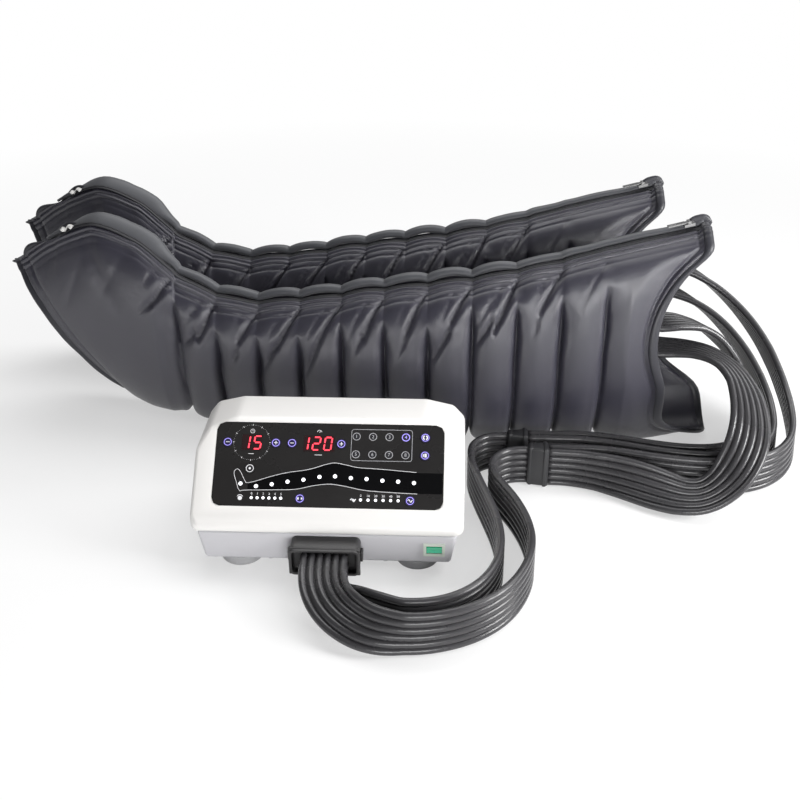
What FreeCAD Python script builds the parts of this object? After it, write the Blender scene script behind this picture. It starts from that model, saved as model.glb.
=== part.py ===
import FreeCAD, Part

import math
import os

import Sketcher

# Compression therapy pump: a desktop console, its twelve-way hose plug, hose ribbons with
# splitters, and two twelve-chamber leg sleeves with their zips. Millimetres, +Z up.
# The origin is on the table, under the middle of the console and the sleeves.

Vector = FreeCAD.Vector
Rotation = FreeCAD.Rotation
Placement = FreeCAD.Placement

CONSOLE_SIZES = {
    "console_x": 7.5,
    "console_front": -280.5,
    "case_width": 300.0,
    "case_depth": 165.0,
    "case_height": 142.0,
    "cover_wall": 2.6,
    "lip_level": 49.0,
    "lip_band": 10.5,
    "panel_tilt": 42.0,
    "side_level": 116.0,
    "shoulder_width": 44.0,
    "shoulder_bulge": 13.0,
    "shoulder_drop": 8.5,
    "rear_lean": 20.0,
    "corner_cut": 7.0,
    "base_inset": 7.0,
    "base_taper": 7.0,
    "base_front": 4.0,
    "base_rear": 158.0,
    "base_bottom": 12.0,
    "base_wall": 2.4,
    "seam_gap": 0.3,
    "rim_height": 2.5,
    "vent_first": -110.0,
    "vent_pitch": 12.0,
    "vent_width": 4.0,
    "vent_height": 18.0,
    "boss_x": 64.0,
    "boss_front": 12.0,
    "boss_rear": 140.0,
    "boss_radius": 5.0,
    "screw_radius": 1.8,
    "screw_head_radius": 3.6,
    "screw_head_height": 2.2,
    "screw_length": 14.0,
    "foot_x": 99.0,
    "foot_front": 30.0,
    "foot_rear": 130.0,
    "foot_radius": 24.0,
    "foot_spigot": 5.0,
}

PANEL_SIZES = {
    "panel_width": 254.0,
    "panel_height": 96.0,
    "panel_rise": 70.0,
    "panel_thick": 1.2,
    "panel_corner": 9.0,
    "panel_margin": 3.0,
    "fit_gap": 0.2,
    "board_drop": 8.0,
    "board_thick": 1.6,
    "key_radius": 5.4,
    "key_proud": 0.5,
    "key_travel": 0.6,
    "key_flange": 1.0,
    "switch_side": 6.0,
    "switch_height": 3.4,
    "lamp_radius": 3.0,
    "small_lamp_radius": 1.6,
    "mode_lamp_radius": 3.6,
    "time_x": -87.0,
    "pressure_x": -12.0,
    "digits_y": 24.5,
    "time_width": 22.0,
    "pressure_width": 34.0,
    "digits_height": 18.0,
    "key_offset": 27.0,
    "mode_x": 57.0,
    "mode_pitch": 18.3,
    "mode_upper": 33.5,
    "mode_lower": 13.0,
    "right_key_x": 106.0,
    "single_key_y": -5.5,
    "scale_y": -38.5,
    "hold_first": -83.0,
    "interval_first": 37.0,
    "hold_pitch": 6.5,
    "interval_pitch": 8.2,
    "hold_key_x": -29.5,
    "interval_key_x": 91.0,
    "chamber_lamp_pitch": 17.35,
}

SERVICE_SIZES = {
    "socket_z": 29.0,
    "plug_width": 76.0,
    "plug_height": 33.0,
    "plug_length": 27.0,
    "plug_wall": 3.0,
    "mouth_depth": 9.0,
    "plug_gap": 0.3,
    "port_pitch": 9.2,
    "row_pitch": 13.0,
    "nozzle_radius": 2.4,
    "nozzle_length": 14.0,
    "air_radius": 1.4,
    "socket_width": 66.0,
    "socket_height": 27.0,
    "socket_depth": 12.0,
    "stub_length": 8.0,
    "latch_width": 3.0,
    "rocker_x": 118.0,
    "rocker_z": 30.5,
    "rocker_length": 17.0,
    "rocker_height": 9.6,
    "rocker_tilt": 7.0,
    "rocker_gap": 1.0,
    "bezel_border": 1.8,
    "bezel_thick": 1.5,
    "housing_depth": 18.0,
    "inlet_x": 96.0,
    "inlet_width": 27.0,
    "inlet_height": 19.6,
    "inlet_depth": 20.0,
    "inlet_border": 4.0,
    "pin_length": 11.0,
    "fuse_x": 34.0,
    "fuse_width": 16.0,
}

INSIDE_SIZES = {
    "valve_y": 84.0,
    "valve_radius": 17.0,
    "valve_height": 24.0,
    "valve_cap": 3.5,
    "rotor_radius": 12.0,
    "rotor_shaft": 3.0,
    "running_gap": 0.05,
    "manifold_depth": 10.0,
    "manifold_front": 50.0,
    "gear_teeth": 60.0,
    "pinion_teeth": 12.0,
    "gear_module": 0.8,
    "gear_thick": 4.0,
    "gear_lift": 2.0,
    "motor_radius": 10.0,
    "tube_radius": 3.3,
    "pump_x": 86.0,
    "pump_y": 92.0,
    "pump_length": 68.0,
    "pump_width": 54.0,
    "pump_height": 48.0,
    "mount_height": 6.0,
    "mount_radius": 6.0,
    "armature_radius": 9.0,
    "armature_length": 44.0,
    "armature_travel": 1.5,
    "supply_x": -100.0,
    "supply_y": 92.0,
    "supply_width": 50.0,
    "supply_length": 84.0,
    "supply_height": 30.0,
    "main_board_x": -48.0,
    "main_board_y": 96.0,
    "main_board_width": 36.0,
    "main_board_length": 70.0,
    "standoff_height": 7.0,
    "standoff_radius": 3.0,
}

SLEEVE_SIZES = {
    "near_x": 7.5,
    "near_y": 22.5,
    "far_x": -27.5,
    "far_y": 172.5,
    "sleeve_wall": 22.0,
    "fabric": 3.0,
    "bladder_gap": 0.3,
    "seam_width": 2.4,
    "chambers": 12.0,
    "first_seam": -225.0,
    "chamber_pitch": 54.5,
    "mouth_arc_x": 498.0,
    "mouth_arc_z": 165.0,
    "mouth_arc_radius": 118.0,
    "tape_half": 6.0,
    "tape_thick": 1.6,
    "tape_start": -395.0,
    "slider_x": 418.0,
    "slider_length": 13.0,
    "slider_width": 9.0,
    "slider_height": 3.4,
    "pull_length": 26.0,
    "pull_width": 6.5,
    "pull_thick": 1.4,
    "port_x": 276.0,
    "port_length": 24.0,
    "port_border": 2.0,
}

HOSE_SIZES = {
    "ribbon_width": 52.0,
    "ribbon_thick": 8.6,
    "splitter_length": 26.0,
    "splitter_border": 1.2,
    "front_splitter_x": 228.0,
    "front_splitter_y": 188.0,
    "rear_splitter_x": 204.0,
    "rear_splitter_y": 220.0,
    "ribbon_level": 26.5,
    "branch_pitch": 10.0,
    "port_level": 145.0,
    "port_first": 320.5,
    "port_pitch_y": 10.5,
    "port_run": 20.0,
}

# Routes of the hose ribbons in the console's frame. Each point: x, y, z and the roll of the
# ribbon, 0 lying flat and 90 standing on its edge. The words are ends worked out in code.
HOSE_ROUTES = {
    "plug_hose_upper": [
        "upper_port", (0, -44, 35.5, 0), (6, -74, 32, 12), (24, -104, 31, 38), (54, -127, 29, 65),
        (92, -131, 26.6, 88), (130, -125, 26.5, 90), (166, -108, 26.5, 90), (196, -80, 26.5, 90),
        (216, -42, 26.5, 90), (225, 0, 26.5, 90), (221, 42, 26.5, 90), (209, 82, 26.5, 90),
        (194, 114, 26.5, 90), (184, 138, 26.5, 90), (183, 154, 26.5, 90), (188, 169, 26.5, 90),
        (198.5, 181, 26.5, 90), (213, 188, 26.5, 90), "front_splitter_in",
    ],
    "plug_hose_lower": [
        "lower_port", (0, -36, 22.5, 0), (6, -60, 17.5, 10), (22, -82, 19.4, 32), (50, -100, 26.4, 62),
        (88, -109, 26.6, 88), (124, -104, 26.5, 90), (153, -88, 26.5, 90), (175, -62, 26.5, 90),
        (188, -28, 26.5, 90), (191, 10, 26.5, 90), (186, 50, 26.5, 90), (176, 90, 26.5, 90),
        (166, 128, 26.5, 90), (159.5, 158, 26.5, 90), (158, 184, 26.5, 90), (162, 200, 26.5, 90),
        (173, 213, 26.5, 90), (187.5, 220, 26.5, 90), "rear_splitter_in",
    ],
    "near_hose_lower": [
        "front_splitter_near", (276, 183, 26.5, 90), (312, 175, 26.7, 84), (350, 158, 26.4, 65),
        (384, 142, 23, 44), (412, 134, 19, 26), (438, 132, 23, 18), (462, 138, 42, 15),
        (480, 155, 67, 15), (490, 179, 89, 18), (492, 208, 106, 22), (487, 236, 122, 25),
        (473, 262, 133, 20), (449, 283, 138, 10), (422, 295, 137, 4), (394, 300, 135, 0),
        (368, 304, 136, 24), (342, 312, 141, 56), "near_approach_first", "near_port_first",
    ],
    "near_hose_upper": [
        "rear_splitter_near", (256, 225, 26.5, 90), (296, 228, 26.5, 90), (336, 221, 26.5, 90),
        (376, 209.5, 26.5, 90), (416, 200.5, 26.5, 90), (454, 199, 27, 89), (486, 208, 29, 86),
        (508, 228, 36, 80), (519, 256, 50, 72), (519, 286, 70, 60), (508, 312, 96, 46),
        (486, 328, 124, 30), (456, 331, 150, 14), (424, 322, 162, 5), (394, 314, 164, 0),
        (368, 322, 160, 24), (342, 331, 152, 58), "near_approach_second", "near_port_second",
    ],
    "far_hose_lower": [
        "rear_splitter_far", (256, 215, 26.5, 90), (296, 215.5, 26.5, 90), (336, 207, 26.5, 90),
        (376, 195, 26.5, 90), (416, 186, 26.5, 90), (454, 183, 26.5, 90), (492, 190, 26.5, 90),
        (520, 209, 27, 89), (538, 238, 29, 87), (546, 272, 35, 84), (547, 306, 46, 80),
        (541, 340, 64, 72), (527, 372, 88, 60), (504, 400, 114, 46), (474, 421, 137, 30),
        (440, 434, 152, 16), (406, 443, 158, 6), (372, 450, 156, 4), (345, 455, 150, 18),
        (318, 462, 146, 46), "far_approach_first", "far_port_first",
    ],
    "far_hose_upper": [
        "front_splitter_far", (280, 193, 26.5, 90), (318, 193.5, 26.5, 90), (354, 185, 26.5, 90),
        (390, 175.5, 26.5, 90), (426, 169.5, 26.5, 90), (462, 169, 26.5, 90), (498, 175, 26.5, 90),
        (530, 192, 27, 90), (554, 220, 29, 88), (567, 256, 34, 85), (571, 296, 46, 81),
        (568, 336, 64, 75), (557, 374, 90, 66), (537, 406, 118, 52), (508, 431, 146, 36),
        (474, 446, 170, 20), (438, 452, 186, 8), (402, 456, 190, 2), (370, 461, 185, 8),
        (342, 469, 173, 28), (316, 478, 158, 60), "far_approach_second", "far_port_second",
    ],
}

# Sections of a sleeve, from the sole to the thigh: where the section's lowest and highest
# points lie (x and z), its half width and how far its middle is off the sleeve's own line.
SECTION_FIELDS = ("low_x", "low_z", "high_x", "high_z", "half", "side")
SLEEVE_SECTIONS = {
    "sole": (-328.0, 16.0, -448.0, 210.0, 36.0, 82.0),
    "toe": (-314.0, 6.0, -402.0, 240.0, 42.0, 75.0),
    "instep": (-284.0, 0.0, -336.0, 262.0, 45.0, 62.0),
    "heel": (-250.0, 0.0, -276.0, 246.0, 45.0, 50.0),
    "ankle": (-206.0, 0.0, -214.0, 206.0, 44.0, 36.0),
    "shin": (-130.0, 0.0, -130.0, 186.0, 46.0, 18.0),
    "calf": (0.0, 0.0, 0.0, 208.0, 52.0, 0.0),
    "knee": (172.0, 0.0, 172.0, 237.0, 60.0, -10.0),
    "thigh": (300.0, 0.0, 300.0, 265.0, 64.0, -3.0),
    "mouth": (468.0, 0.0, 440.0, 294.0, 66.0, 16.0),
}

document = FreeCAD.newDocument("compression_therapy_pump")
sheet = document.addObject("Spreadsheet::Sheet", "sizes")
nodes = []


def fill_sheet():
    row = 1
    groups = [CONSOLE_SIZES, PANEL_SIZES, SERVICE_SIZES, INSIDE_SIZES, SLEEVE_SIZES, HOSE_SIZES]
    for section, numbers in SLEEVE_SECTIONS.items():
        groups.append({f"{section}_{field}": number for field, number in zip(SECTION_FIELDS, numbers)})
    for numbers in groups:
        for alias, number in numbers.items():
            sheet.set(f"A{row}", alias)
            sheet.set(f"B{row}", str(number))
            sheet.setAlias(f"B{row}", alias)
            row += 1
    document.recompute()


def size(alias):
    return float(getattr(sheet, alias))


def bind(text):
    """Writes a formula in terms of the sheet: every bare word becomes one of its cells."""
    words = []
    word = ""
    for letter in str(text) + " ":
        if letter.isalnum() or letter == "_" or (letter == "." and word[:1].isdigit()):
            word += letter
            continue
        if word and word[0].isalpha() and word not in ("tan", "cos", "sin", "deg"):
            word = f"<<sizes>>.{word}"
        words.append(word)
        words.append(letter)
        word = ""
    return "".join(words).strip()


def amount(text):
    """The value of a formula at the sizes now in the sheet."""
    answer = sheet.evalExpression(bind(text))
    return float(getattr(answer, "Value", answer))


def put(item, x="0", y="0", z="0"):
    item.setExpression("Placement.Base.x", bind(x))
    item.setExpression("Placement.Base.y", bind(y))
    item.setExpression("Placement.Base.z", bind(z))
    return item


def box(name, x, y, z, length, width, height):
    """A block from its lowest corner."""
    item = document.addObject("Part::Box", name)
    item.setExpression("Length", bind(length))
    item.setExpression("Width", bind(width))
    item.setExpression("Height", bind(height))
    return put(item, x, y, z)


def block(name, x, y, z, length, width, height):
    """A block centred in x and y, standing on z."""
    return box(name, f"{x} - ({length}) / 2", f"{y} - ({width}) / 2", z, length, width, height)


def cylinder(name, x, y, z, radius, height, along="z"):
    item = document.addObject("Part::Cylinder", name)
    turns = {"x": Rotation(Vector(0, 1, 0), 90), "y": Rotation(Vector(1, 0, 0), -90), "z": Rotation()}
    item.Placement = Placement(Vector(), turns[along])
    item.setExpression("Radius", bind(radius))
    item.setExpression("Height", bind(height))
    return put(item, x, y, z)


def cut(name, base, *tools):
    item = document.addObject("Part::Cut", name)
    item.Base = base
    item.Tool = tools[0] if len(tools) == 1 else fuse(f"{name}_tools", *tools)
    return item


def fuse(name, *pieces):
    item = document.addObject("Part::MultiFuse", name)
    item.Shapes = list(pieces)
    return item


def common(name, *pieces):
    item = document.addObject("Part::MultiCommon", name)
    item.Shapes = list(pieces)
    return item


def group(name, *pieces):
    item = document.addObject("Part::Compound", name)
    item.Links = list(pieces)
    return item


def keep(label, item, x="console_x", y="console_front", z="0"):
    """Names a finished piece and puts it in the console's place, or another one."""
    holder = item if item.TypeId == "Part::Compound" else group(f"{label}_piece", item)
    holder.Label = label
    put(holder, x, y, z)
    nodes.append(holder)
    return holder


def keep_on_panel(label, item):
    """Puts a piece drawn flat on the sloping panel: its origin is the panel's middle."""
    slope_y = "console_front + panel_rise * cos(panel_tilt * 1 deg)"
    slope_z = "lip_level + lip_band + panel_rise * sin(panel_tilt * 1 deg)"
    holder = keep(label, item, "console_x", slope_y, slope_z)
    holder.Placement = Placement(holder.Placement.Base, Rotation(Vector(1, 0, 0), 1))
    holder.setExpression("Placement.Rotation.Angle", bind("panel_tilt"))
    return holder


def outline(body, name, plane, corners, offset="0"):
    """A closed sketch whose corners are formulas of the sheet."""
    sketch = body.newObject("Sketcher::SketchObject", name)
    flat = [item for item in body.Origin.OriginFeatures if item.Role == plane][0]
    sketch.AttachmentSupport = [(flat, "")]
    sketch.MapMode = "FlatFace"
    sketch.setExpression("AttachmentOffset.Base.z", bind(offset))
    points = [Vector(amount(x), amount(y), 0) for x, y in corners]
    count = len(points)
    for index in range(count):
        sketch.addGeometry(Part.LineSegment(points[index], points[(index + 1) % count]), False)
    for index in range(count):
        sketch.addConstraint(Sketcher.Constraint("Coincident", index, 2, (index + 1) % count, 1))
    for index, (x, y) in enumerate(corners):
        for kind, formula in (("DistanceX", x), ("DistanceY", y)):
            place = sketch.addConstraint(Sketcher.Constraint(kind, -1, 1, index, 1, amount(formula)))
            sketch.renameConstraint(place, f"corner_{index}_{kind}")
            sketch.setExpression(f"Constraints.corner_{index}_{kind}", bind(formula))
    return sketch


def pad(body, sketch, length, backwards=False):
    item = body.newObject("PartDesign::Pad", f"{sketch.Name}_pad")
    item.Profile = sketch
    item.setExpression("Length", bind(length))
    item.Reversed = backwards
    return item


def pocket_both_ways(body, sketch, length):
    item = body.newObject("PartDesign::Pocket", f"{sketch.Name}_pocket")
    item.Profile = sketch
    item.setExpression("Length", bind(length))
    item.Midplane = True
    return item


def new_body(name):
    return document.addObject("PartDesign::Body", name)


# ---------------------------------------------------------------- console case

def cover_blank(name, inset, foot):
    """The cover's outside, or with an inset its hollow, as a solid standing on level foot."""
    body = new_body(name)
    side = f"case_width / 2 - {inset}"
    half = [
        (side, foot),
        (side, f"side_level - {inset} * 0.35"),
        (f"case_width / 2 - shoulder_bulge - {inset} * 0.7", f"case_height - shoulder_drop - {inset} * 0.75"),
        (f"case_width / 2 - shoulder_width - {inset} * 0.2", f"case_height - {inset}"),
    ]
    corners = half + [(f"-({x})", y) for x, y in reversed(half)]
    pad(body, outline(body, f"{name}_front_view", "XZ_Plane", corners), "case_depth", True)
    crest = "(case_height + 20)"
    start = "(lip_level + lip_band)"
    slope = f"({inset} / cos(panel_tilt * 1 deg))"
    rise = "tan(panel_tilt * 1 deg)"
    front = [
        ("-20", f"{foot} - 10"),
        (inset, f"{foot} - 10"),
        (inset, f"{start} + {inset} * {rise} - {slope}"),
        (f"({crest} - {start} + {slope}) / {rise}", crest),
        ("-20", crest),
    ]
    pocket_both_ways(body, outline(body, f"{name}_slope", "YZ_Plane", front), "case_width * 3")
    lean = "rear_lean / (case_height - lip_level)"
    rear = [
        (f"case_depth - {inset} + 10 * {lean}", "lip_level - 10"),
        ("case_depth + 30", "lip_level - 10"),
        ("case_depth + 30", crest),
        (f"case_depth - {inset} - ({crest} - lip_level) * {lean}", crest),
    ]
    pocket_both_ways(body, outline(body, f"{name}_back", "YZ_Plane", rear), "case_width * 3")
    bevel = f"(corner_cut + {inset} / cos(45 * 1 deg))"
    corner = [
        (f"case_width / 2 - {bevel}", "-1"),
        ("case_width / 2 + 1", "-1"),
        ("case_width / 2 + 1", f"{bevel} + 1"),
        ("case_width / 2", bevel),
        (f"case_width / 2 - {bevel}", "0"),
    ]
    for label, sign in (("right", ""), ("left", "-")):
        mirrored = [(f"{sign}({x})", y) for x, y in corner]
        pocket_both_ways(body, outline(body, f"{name}_{label}_corner", "XY_Plane", mirrored), "case_height * 3")
    return body


def boss_places():
    for side, sign in (("left", "-"), ("right", "")):
        for end in ("front", "rear"):
            yield f"{side}_{end}", f"{sign}boss_x", f"boss_{end}"


def panel_tool(name, item):
    """A cutting piece drawn flat on the panel, moved into the console's own place."""
    holder = group(name, item)
    put(holder, "0", "panel_rise * cos(panel_tilt * 1 deg)",
        "lip_level + lip_band + panel_rise * sin(panel_tilt * 1 deg)")
    holder.Placement = Placement(holder.Placement.Base, Rotation(Vector(1, 0, 0), 1))
    holder.setExpression("Placement.Rotation.Angle", bind("panel_tilt"))
    return holder


def make_top_cover():
    outer = cover_blank("cover_outside", "0", "lip_level")
    inner = cover_blank("cover_hollow", "cover_wall", "(lip_level - 5)")
    shell = cut("cover_shell", outer, inner)
    posts = []
    for place, x, y in boss_places():
        posts.append(cylinder(f"boss_{place}", x, y, "base_bottom + base_wall", "boss_radius", "case_height"))
    tall = cover_blank("cover_boss_limit", "cover_wall * 0.5", "(base_bottom - 10)")
    trimmed = common("cover_bosses", fuse("boss_posts", *posts), tall)
    holes = []
    for place, x, y in boss_places():
        holes.append(cylinder(f"pilot_{place}", x, y, "base_bottom", "screw_radius", "screw_length + 2"))
    recess = panel_block("panel_recess", "fit_gap", "-panel_thick", "panel_thick + 10")
    window = panel_block("panel_window", "-panel_margin", "-cover_wall * 3", "cover_wall * 3 + 5")
    seats = []
    for index, (sx, sy) in enumerate(((-1, -1), (1, -1), (1, 1), (-1, 1))):
        seats.append(cylinder(f"board_seat_{index}", f"{sx} * (panel_width / 2 - 1)",
                              f"{sy} * (panel_height / 2 - 14)", "-board_drop", "3", "board_drop - panel_thick"))
    joined = fuse("cover_joined", shell, trimmed, panel_tool("board_seats", fuse("seat_posts", *seats)))
    finished = cut("cover_finished", joined, *holes, panel_tool("recess_tool", recess),
                   panel_tool("window_tool", window))
    keep("top_cover", finished)


def panel_block(name, grow, low, thick):
    """A rounded plate the size of the panel, grown all round."""
    width = f"(panel_width + 2 * ({grow}))"
    height = f"(panel_height + 2 * ({grow}))"
    body = new_body(name)
    bevel = "panel_corner * 0.3"
    reach = "panel_corner"
    corners = []
    for sx, sy, order in ((1, -1, 0), (1, 1, 1), (-1, 1, 0), (-1, -1, 1)):
        near_side = (f"{sx} * ({width} / 2 - {reach})", f"{sy} * {height} / 2")
        middle = (f"{sx} * ({width} / 2 - {bevel})", f"{sy} * ({height} / 2 - {bevel})")
        far_side = (f"{sx} * {width} / 2", f"{sy} * ({height} / 2 - {reach})")
        trio = [near_side, middle, far_side]
        corners += trio if order == 0 else trio[::-1]
    pad(body, outline(body, f"{name}_plan", "XY_Plane", corners, low), thick)
    return body


def make_base_tray():
    outer = tray_blank("tray_outside", "0", "base_bottom", "lip_level")
    inner = tray_blank("tray_hollow", "base_wall", "base_bottom + base_wall", "lip_level + 20")
    rim_gap = "(cover_wall + seam_gap)"
    ledge = box("tray_ledge", f"-case_width / 2 + {rim_gap}", f"{rim_gap} + corner_cut", "lip_level",
                f"case_width - 2 * {rim_gap}", f"case_depth - 2 * {rim_gap} - corner_cut - 1", "rim_height")
    rim = box("tray_rim", f"-case_width / 2 + {rim_gap} + corner_cut", rim_gap, "lip_level",
              f"case_width - 2 * ({rim_gap} + corner_cut)", f"case_depth - 2 * {rim_gap} - 1", "rim_height")
    holes = []
    for place, x, y in boss_places():
        holes.append(cylinder(f"screw_hole_{place}", x, y, "0", "screw_radius + fit_gap", "lip_level"))
    for place, x, y in foot_places():
        holes.append(cylinder(f"foot_hole_{place}", x, y, "0", "foot_spigot + fit_gap", "lip_level"))
    holes.append(box("socket_opening", "-socket_width / 2 - fit_gap", "0",
                     "socket_z - socket_height / 2 - fit_gap", "socket_width + 2 * fit_gap", "20",
                     "socket_height + 2 * fit_gap"))
    holes.append(box("rocker_opening", "rocker_x - rocker_length / 2 - bezel_border", "0",
                     "rocker_z - rocker_height / 2 - bezel_border", "rocker_length + 2 * bezel_border", "15",
                     "rocker_height + 2 * bezel_border"))
    holes.append(box("inlet_opening", "inlet_x - inlet_width / 2 - 1.5", "base_rear - 15",
                     "socket_z - inlet_height / 2 - 1.5", "inlet_width + 3", "30", "inlet_height + 3"))
    holes.append(box("fuse_opening", "fuse_x - fuse_width / 2 - fit_gap", "base_rear - 15",
                     "socket_z - fuse_width / 2 - fit_gap", "fuse_width + 2 * fit_gap", "30",
                     "fuse_width + 2 * fit_gap"))
    for index in range(8):
        holes.append(box(f"vent_{index}", f"vent_first + {index} * vent_pitch", "base_rear - 15",
                         "socket_z - vent_height / 2", "vent_width", "30", "vent_height"))
    keep("base_tray", cut("tray_finished", fuse("tray_joined", outer, ledge, rim), inner, *holes))


def tray_blank(name, inset, low, high):
    body = new_body(name)
    top = f"case_width / 2 - base_inset - {inset}"
    grow = "base_taper / (lip_level - base_bottom)"
    corners = [
        (f"{top} - (lip_level - ({low})) * {grow}", low),
        (f"{top} + ({high} - lip_level) * {grow}", high),
        (f"-({top} + ({high} - lip_level) * {grow})", high),
        (f"-({top} - (lip_level - ({low})) * {grow})", low),
    ]
    sketch = outline(body, f"{name}_front_view", "XZ_Plane", corners, f"-(base_front + {inset})")
    pad(body, sketch, f"base_rear - base_front - 2 * {inset}", True)
    return body


def foot_places():
    for side, sign in (("left", "-"), ("right", "")):
        for end in ("front", "rear"):
            yield f"{side}_{end}", f"{sign}foot_x", f"foot_{end}"


def make_feet():
    feet = []
    for place, x, y in foot_places():
        pad_disc = cylinder(f"foot_disc_{place}", x, y, "0", "foot_radius", "base_bottom")
        spigot = cylinder(f"foot_spigot_{place}", x, y, "0", "foot_spigot", f"{FLOOR} - fit_gap")
        feet.append(fuse(f"foot_{place}", pad_disc, spigot))
    keep("rubber_feet", group("rubber_feet_group", *feet))


def make_case_screws():
    screws = []
    for place, x, y in boss_places():
        head = cylinder(f"head_{place}", x, y, "base_bottom - screw_head_height", "screw_head_radius",
                        "screw_head_height")
        shank = cylinder(f"shank_{place}", x, y, "base_bottom - screw_head_height / 2",
                         "screw_radius - 0.05", "screw_length")
        screws.append(fuse(f"screw_{place}", head, shank))
    keep("case_screws", group("case_screws_group", *screws))


# ---------------------------------------------------------------- front panel

def key_places():
    yield "time_minus_key", "time_x - key_offset", "digits_y"
    yield "time_plus_key", "time_x + key_offset", "digits_y"
    yield "pressure_minus_key", "pressure_x - key_offset - 3", "digits_y"
    yield "pressure_plus_key", "pressure_x + key_offset - 2", "digits_y"
    yield "single_chamber_key", "time_x", "single_key_y"
    yield "mode_key", "right_key_x", "mode_upper"
    yield "start_key", "right_key_x", "mode_lower"
    yield "hold_key", "hold_key_x", "scale_y"
    yield "interval_key", "interval_key_x", "scale_y"


def chamber_lamp_places():
    """Twelve lamps that follow the drawn leg: low at the foot, a crest at the knee."""
    heights = (-22.5, -25.5, -23.0, -20.0, -17.0, -13.8, -12.6, -14.0, -15.0, -16.2, -17.2, -18.2)
    for index, height in enumerate(heights):
        yield f"{index - 5.5} * chamber_lamp_pitch", str(height)


def mode_lamp_places():
    for row in ("mode_upper", "mode_lower"):
        for column in range(4):
            yield f"mode_x + ({column} - 1.5) * mode_pitch", row


def scale_lamp_places():
    for scale in ("hold", "interval"):
        for index in range(6):
            yield f"{scale}_first + {index} * {scale}_pitch", "scale_y"


def make_panel():
    plate = panel_block("overlay_plate", "0", "-panel_thick", "panel_thick")
    holes = []
    for name, x, y in key_places():
        holes.append(cylinder(f"{name}_hole", x, y, "-5", "key_radius + fit_gap", "10"))
    lamps = (("chamber", chamber_lamp_places, "lamp_radius"), ("mode", mode_lamp_places, "mode_lamp_radius"),
             ("scale", scale_lamp_places, "small_lamp_radius"))
    board_top = "-board_drop"
    for kind, places, radius in lamps:
        pieces = []
        for index, (x, y) in enumerate(places()):
            holes.append(cylinder(f"{kind}_hole_{index}", x, y, "-5", f"{radius} + fit_gap / 2", "10"))
            pieces.append(cylinder(f"{kind}_lamp_{index}", x, y, board_top, radius, "board_drop"))
        keep_on_panel(f"{kind}_lamps", group(f"{kind}_lamps_group", *pieces))
    for kind in ("time", "pressure"):
        holes.append(block(f"{kind}_window", f"{kind}_x", "digits_y", "-5", f"{kind}_width + 2 * fit_gap",
                           "digits_height + 2 * fit_gap", "10"))
        module = block(f"{kind}_module", f"{kind}_x", "digits_y", board_top, f"{kind}_width",
                       "digits_height", "board_drop")
        keep_on_panel(f"{kind}_display", module)
    keep_on_panel("panel_overlay", cut("overlay_cut", plate, *holes))


def make_keys():
    switch_top = "-board_drop + switch_height"
    flange_top = "-panel_thick - fit_gap"
    switches = []
    for name, x, y in key_places():
        cap = cylinder(f"{name}_cap", x, y, f"{flange_top} - key_flange / 2", "key_radius",
                       "panel_thick + fit_gap + key_flange / 2 + key_proud")
        flange = cylinder(f"{name}_flange", x, y, f"{flange_top} - key_flange", "key_radius + 0.8", "key_flange")
        stem_low = f"({switch_top} + key_travel + 0.1)"
        stem = cylinder(f"{name}_stem", x, y, stem_low, "1.5", f"{flange_top} - {stem_low}")
        keep_on_panel(name, fuse(f"{name}_body", cap, flange, stem))
        switches.append(block(f"{name}_switch", x, y, "-board_drop", "switch_side", "switch_side",
                              "switch_height"))
    keep_on_panel("key_switches", group("key_switches_group", *switches))
    keep_on_panel("display_board", block("board_plate", "0", "0", "-board_drop - board_thick",
                                         "panel_width + 3", "panel_height - 18", "board_thick"))


# ---------------------------------------------------------------- sockets and switches

def port_places():
    for row in (-1, 1):
        for column in range(6):
            yield f"{row}_{column}", f"({column} - 2.5) * port_pitch", f"socket_z + {row} * row_pitch / 2"


def make_hose_socket():
    plate = box("socket_block", "-socket_width / 2", "base_front", "socket_z - socket_height / 2",
                "socket_width", "socket_depth", "socket_height")
    flange = box("socket_flange", "-socket_width / 2 - 3", "base_front + base_wall",
                 "socket_z - socket_height / 2", "socket_width + 6", "3", "socket_height")
    pieces = [plate, flange]
    bores = []
    for name, x, z in port_places():
        pieces.append(cylinder(f"nozzle_{name}", x, "base_front - nozzle_length", z, "nozzle_radius",
                               "nozzle_length + socket_depth + stub_length", "y"))
        bores.append(cylinder(f"air_{name}", x, "base_front - nozzle_length - 1", z, "air_radius",
                              "nozzle_length + socket_depth + stub_length + 2", "y"))
    keep("hose_socket", cut("socket_finished", fuse("socket_joined", *pieces), *bores))


def make_hose_plug():
    back = "base_front - plug_gap"
    shell = box("plug_shell", "-plug_width / 2", f"{back} - plug_length", "socket_z - plug_height / 2",
                "plug_width", "plug_length", "plug_height")
    edges = document.addObject("Part::Fillet", "plug_rounded")
    edges.Base = shell
    document.recompute()
    along = [index + 1 for index, edge in enumerate(shell.Shape.Edges)
             if abs(edge.tangentAt(edge.FirstParameter).y) > 0.9]
    edges.Edges = [(index, 5.0, 5.0) for index in along]
    mouth = box("plug_mouth", "-plug_width / 2 + plug_wall", f"{back} - plug_length - 1",
                "socket_z - plug_height / 2 + plug_wall", "plug_width - 2 * plug_wall", "mouth_depth + 1",
                "plug_height - 2 * plug_wall")
    bores = []
    for name, x, z in port_places():
        bores.append(cylinder(f"plug_bore_{name}", x, f"{back} - nozzle_length - 1", z,
                              "nozzle_radius + fit_gap", "nozzle_length + 2", "y"))
    bumps = []
    for side, sign in (("left", -1), ("right", 1)):
        bumps.append(box(f"latch_{side}", f"{sign} * (plug_width + latch_width - 1) / 2 - latch_width / 2",
                         f"{back} - 14", "socket_z - 6", "latch_width", "10", "12"))
    finished = cut("plug_hollow", fuse("plug_latched", edges, *bumps), mouth, *bores)
    keep("hose_plug", finished)


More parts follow.
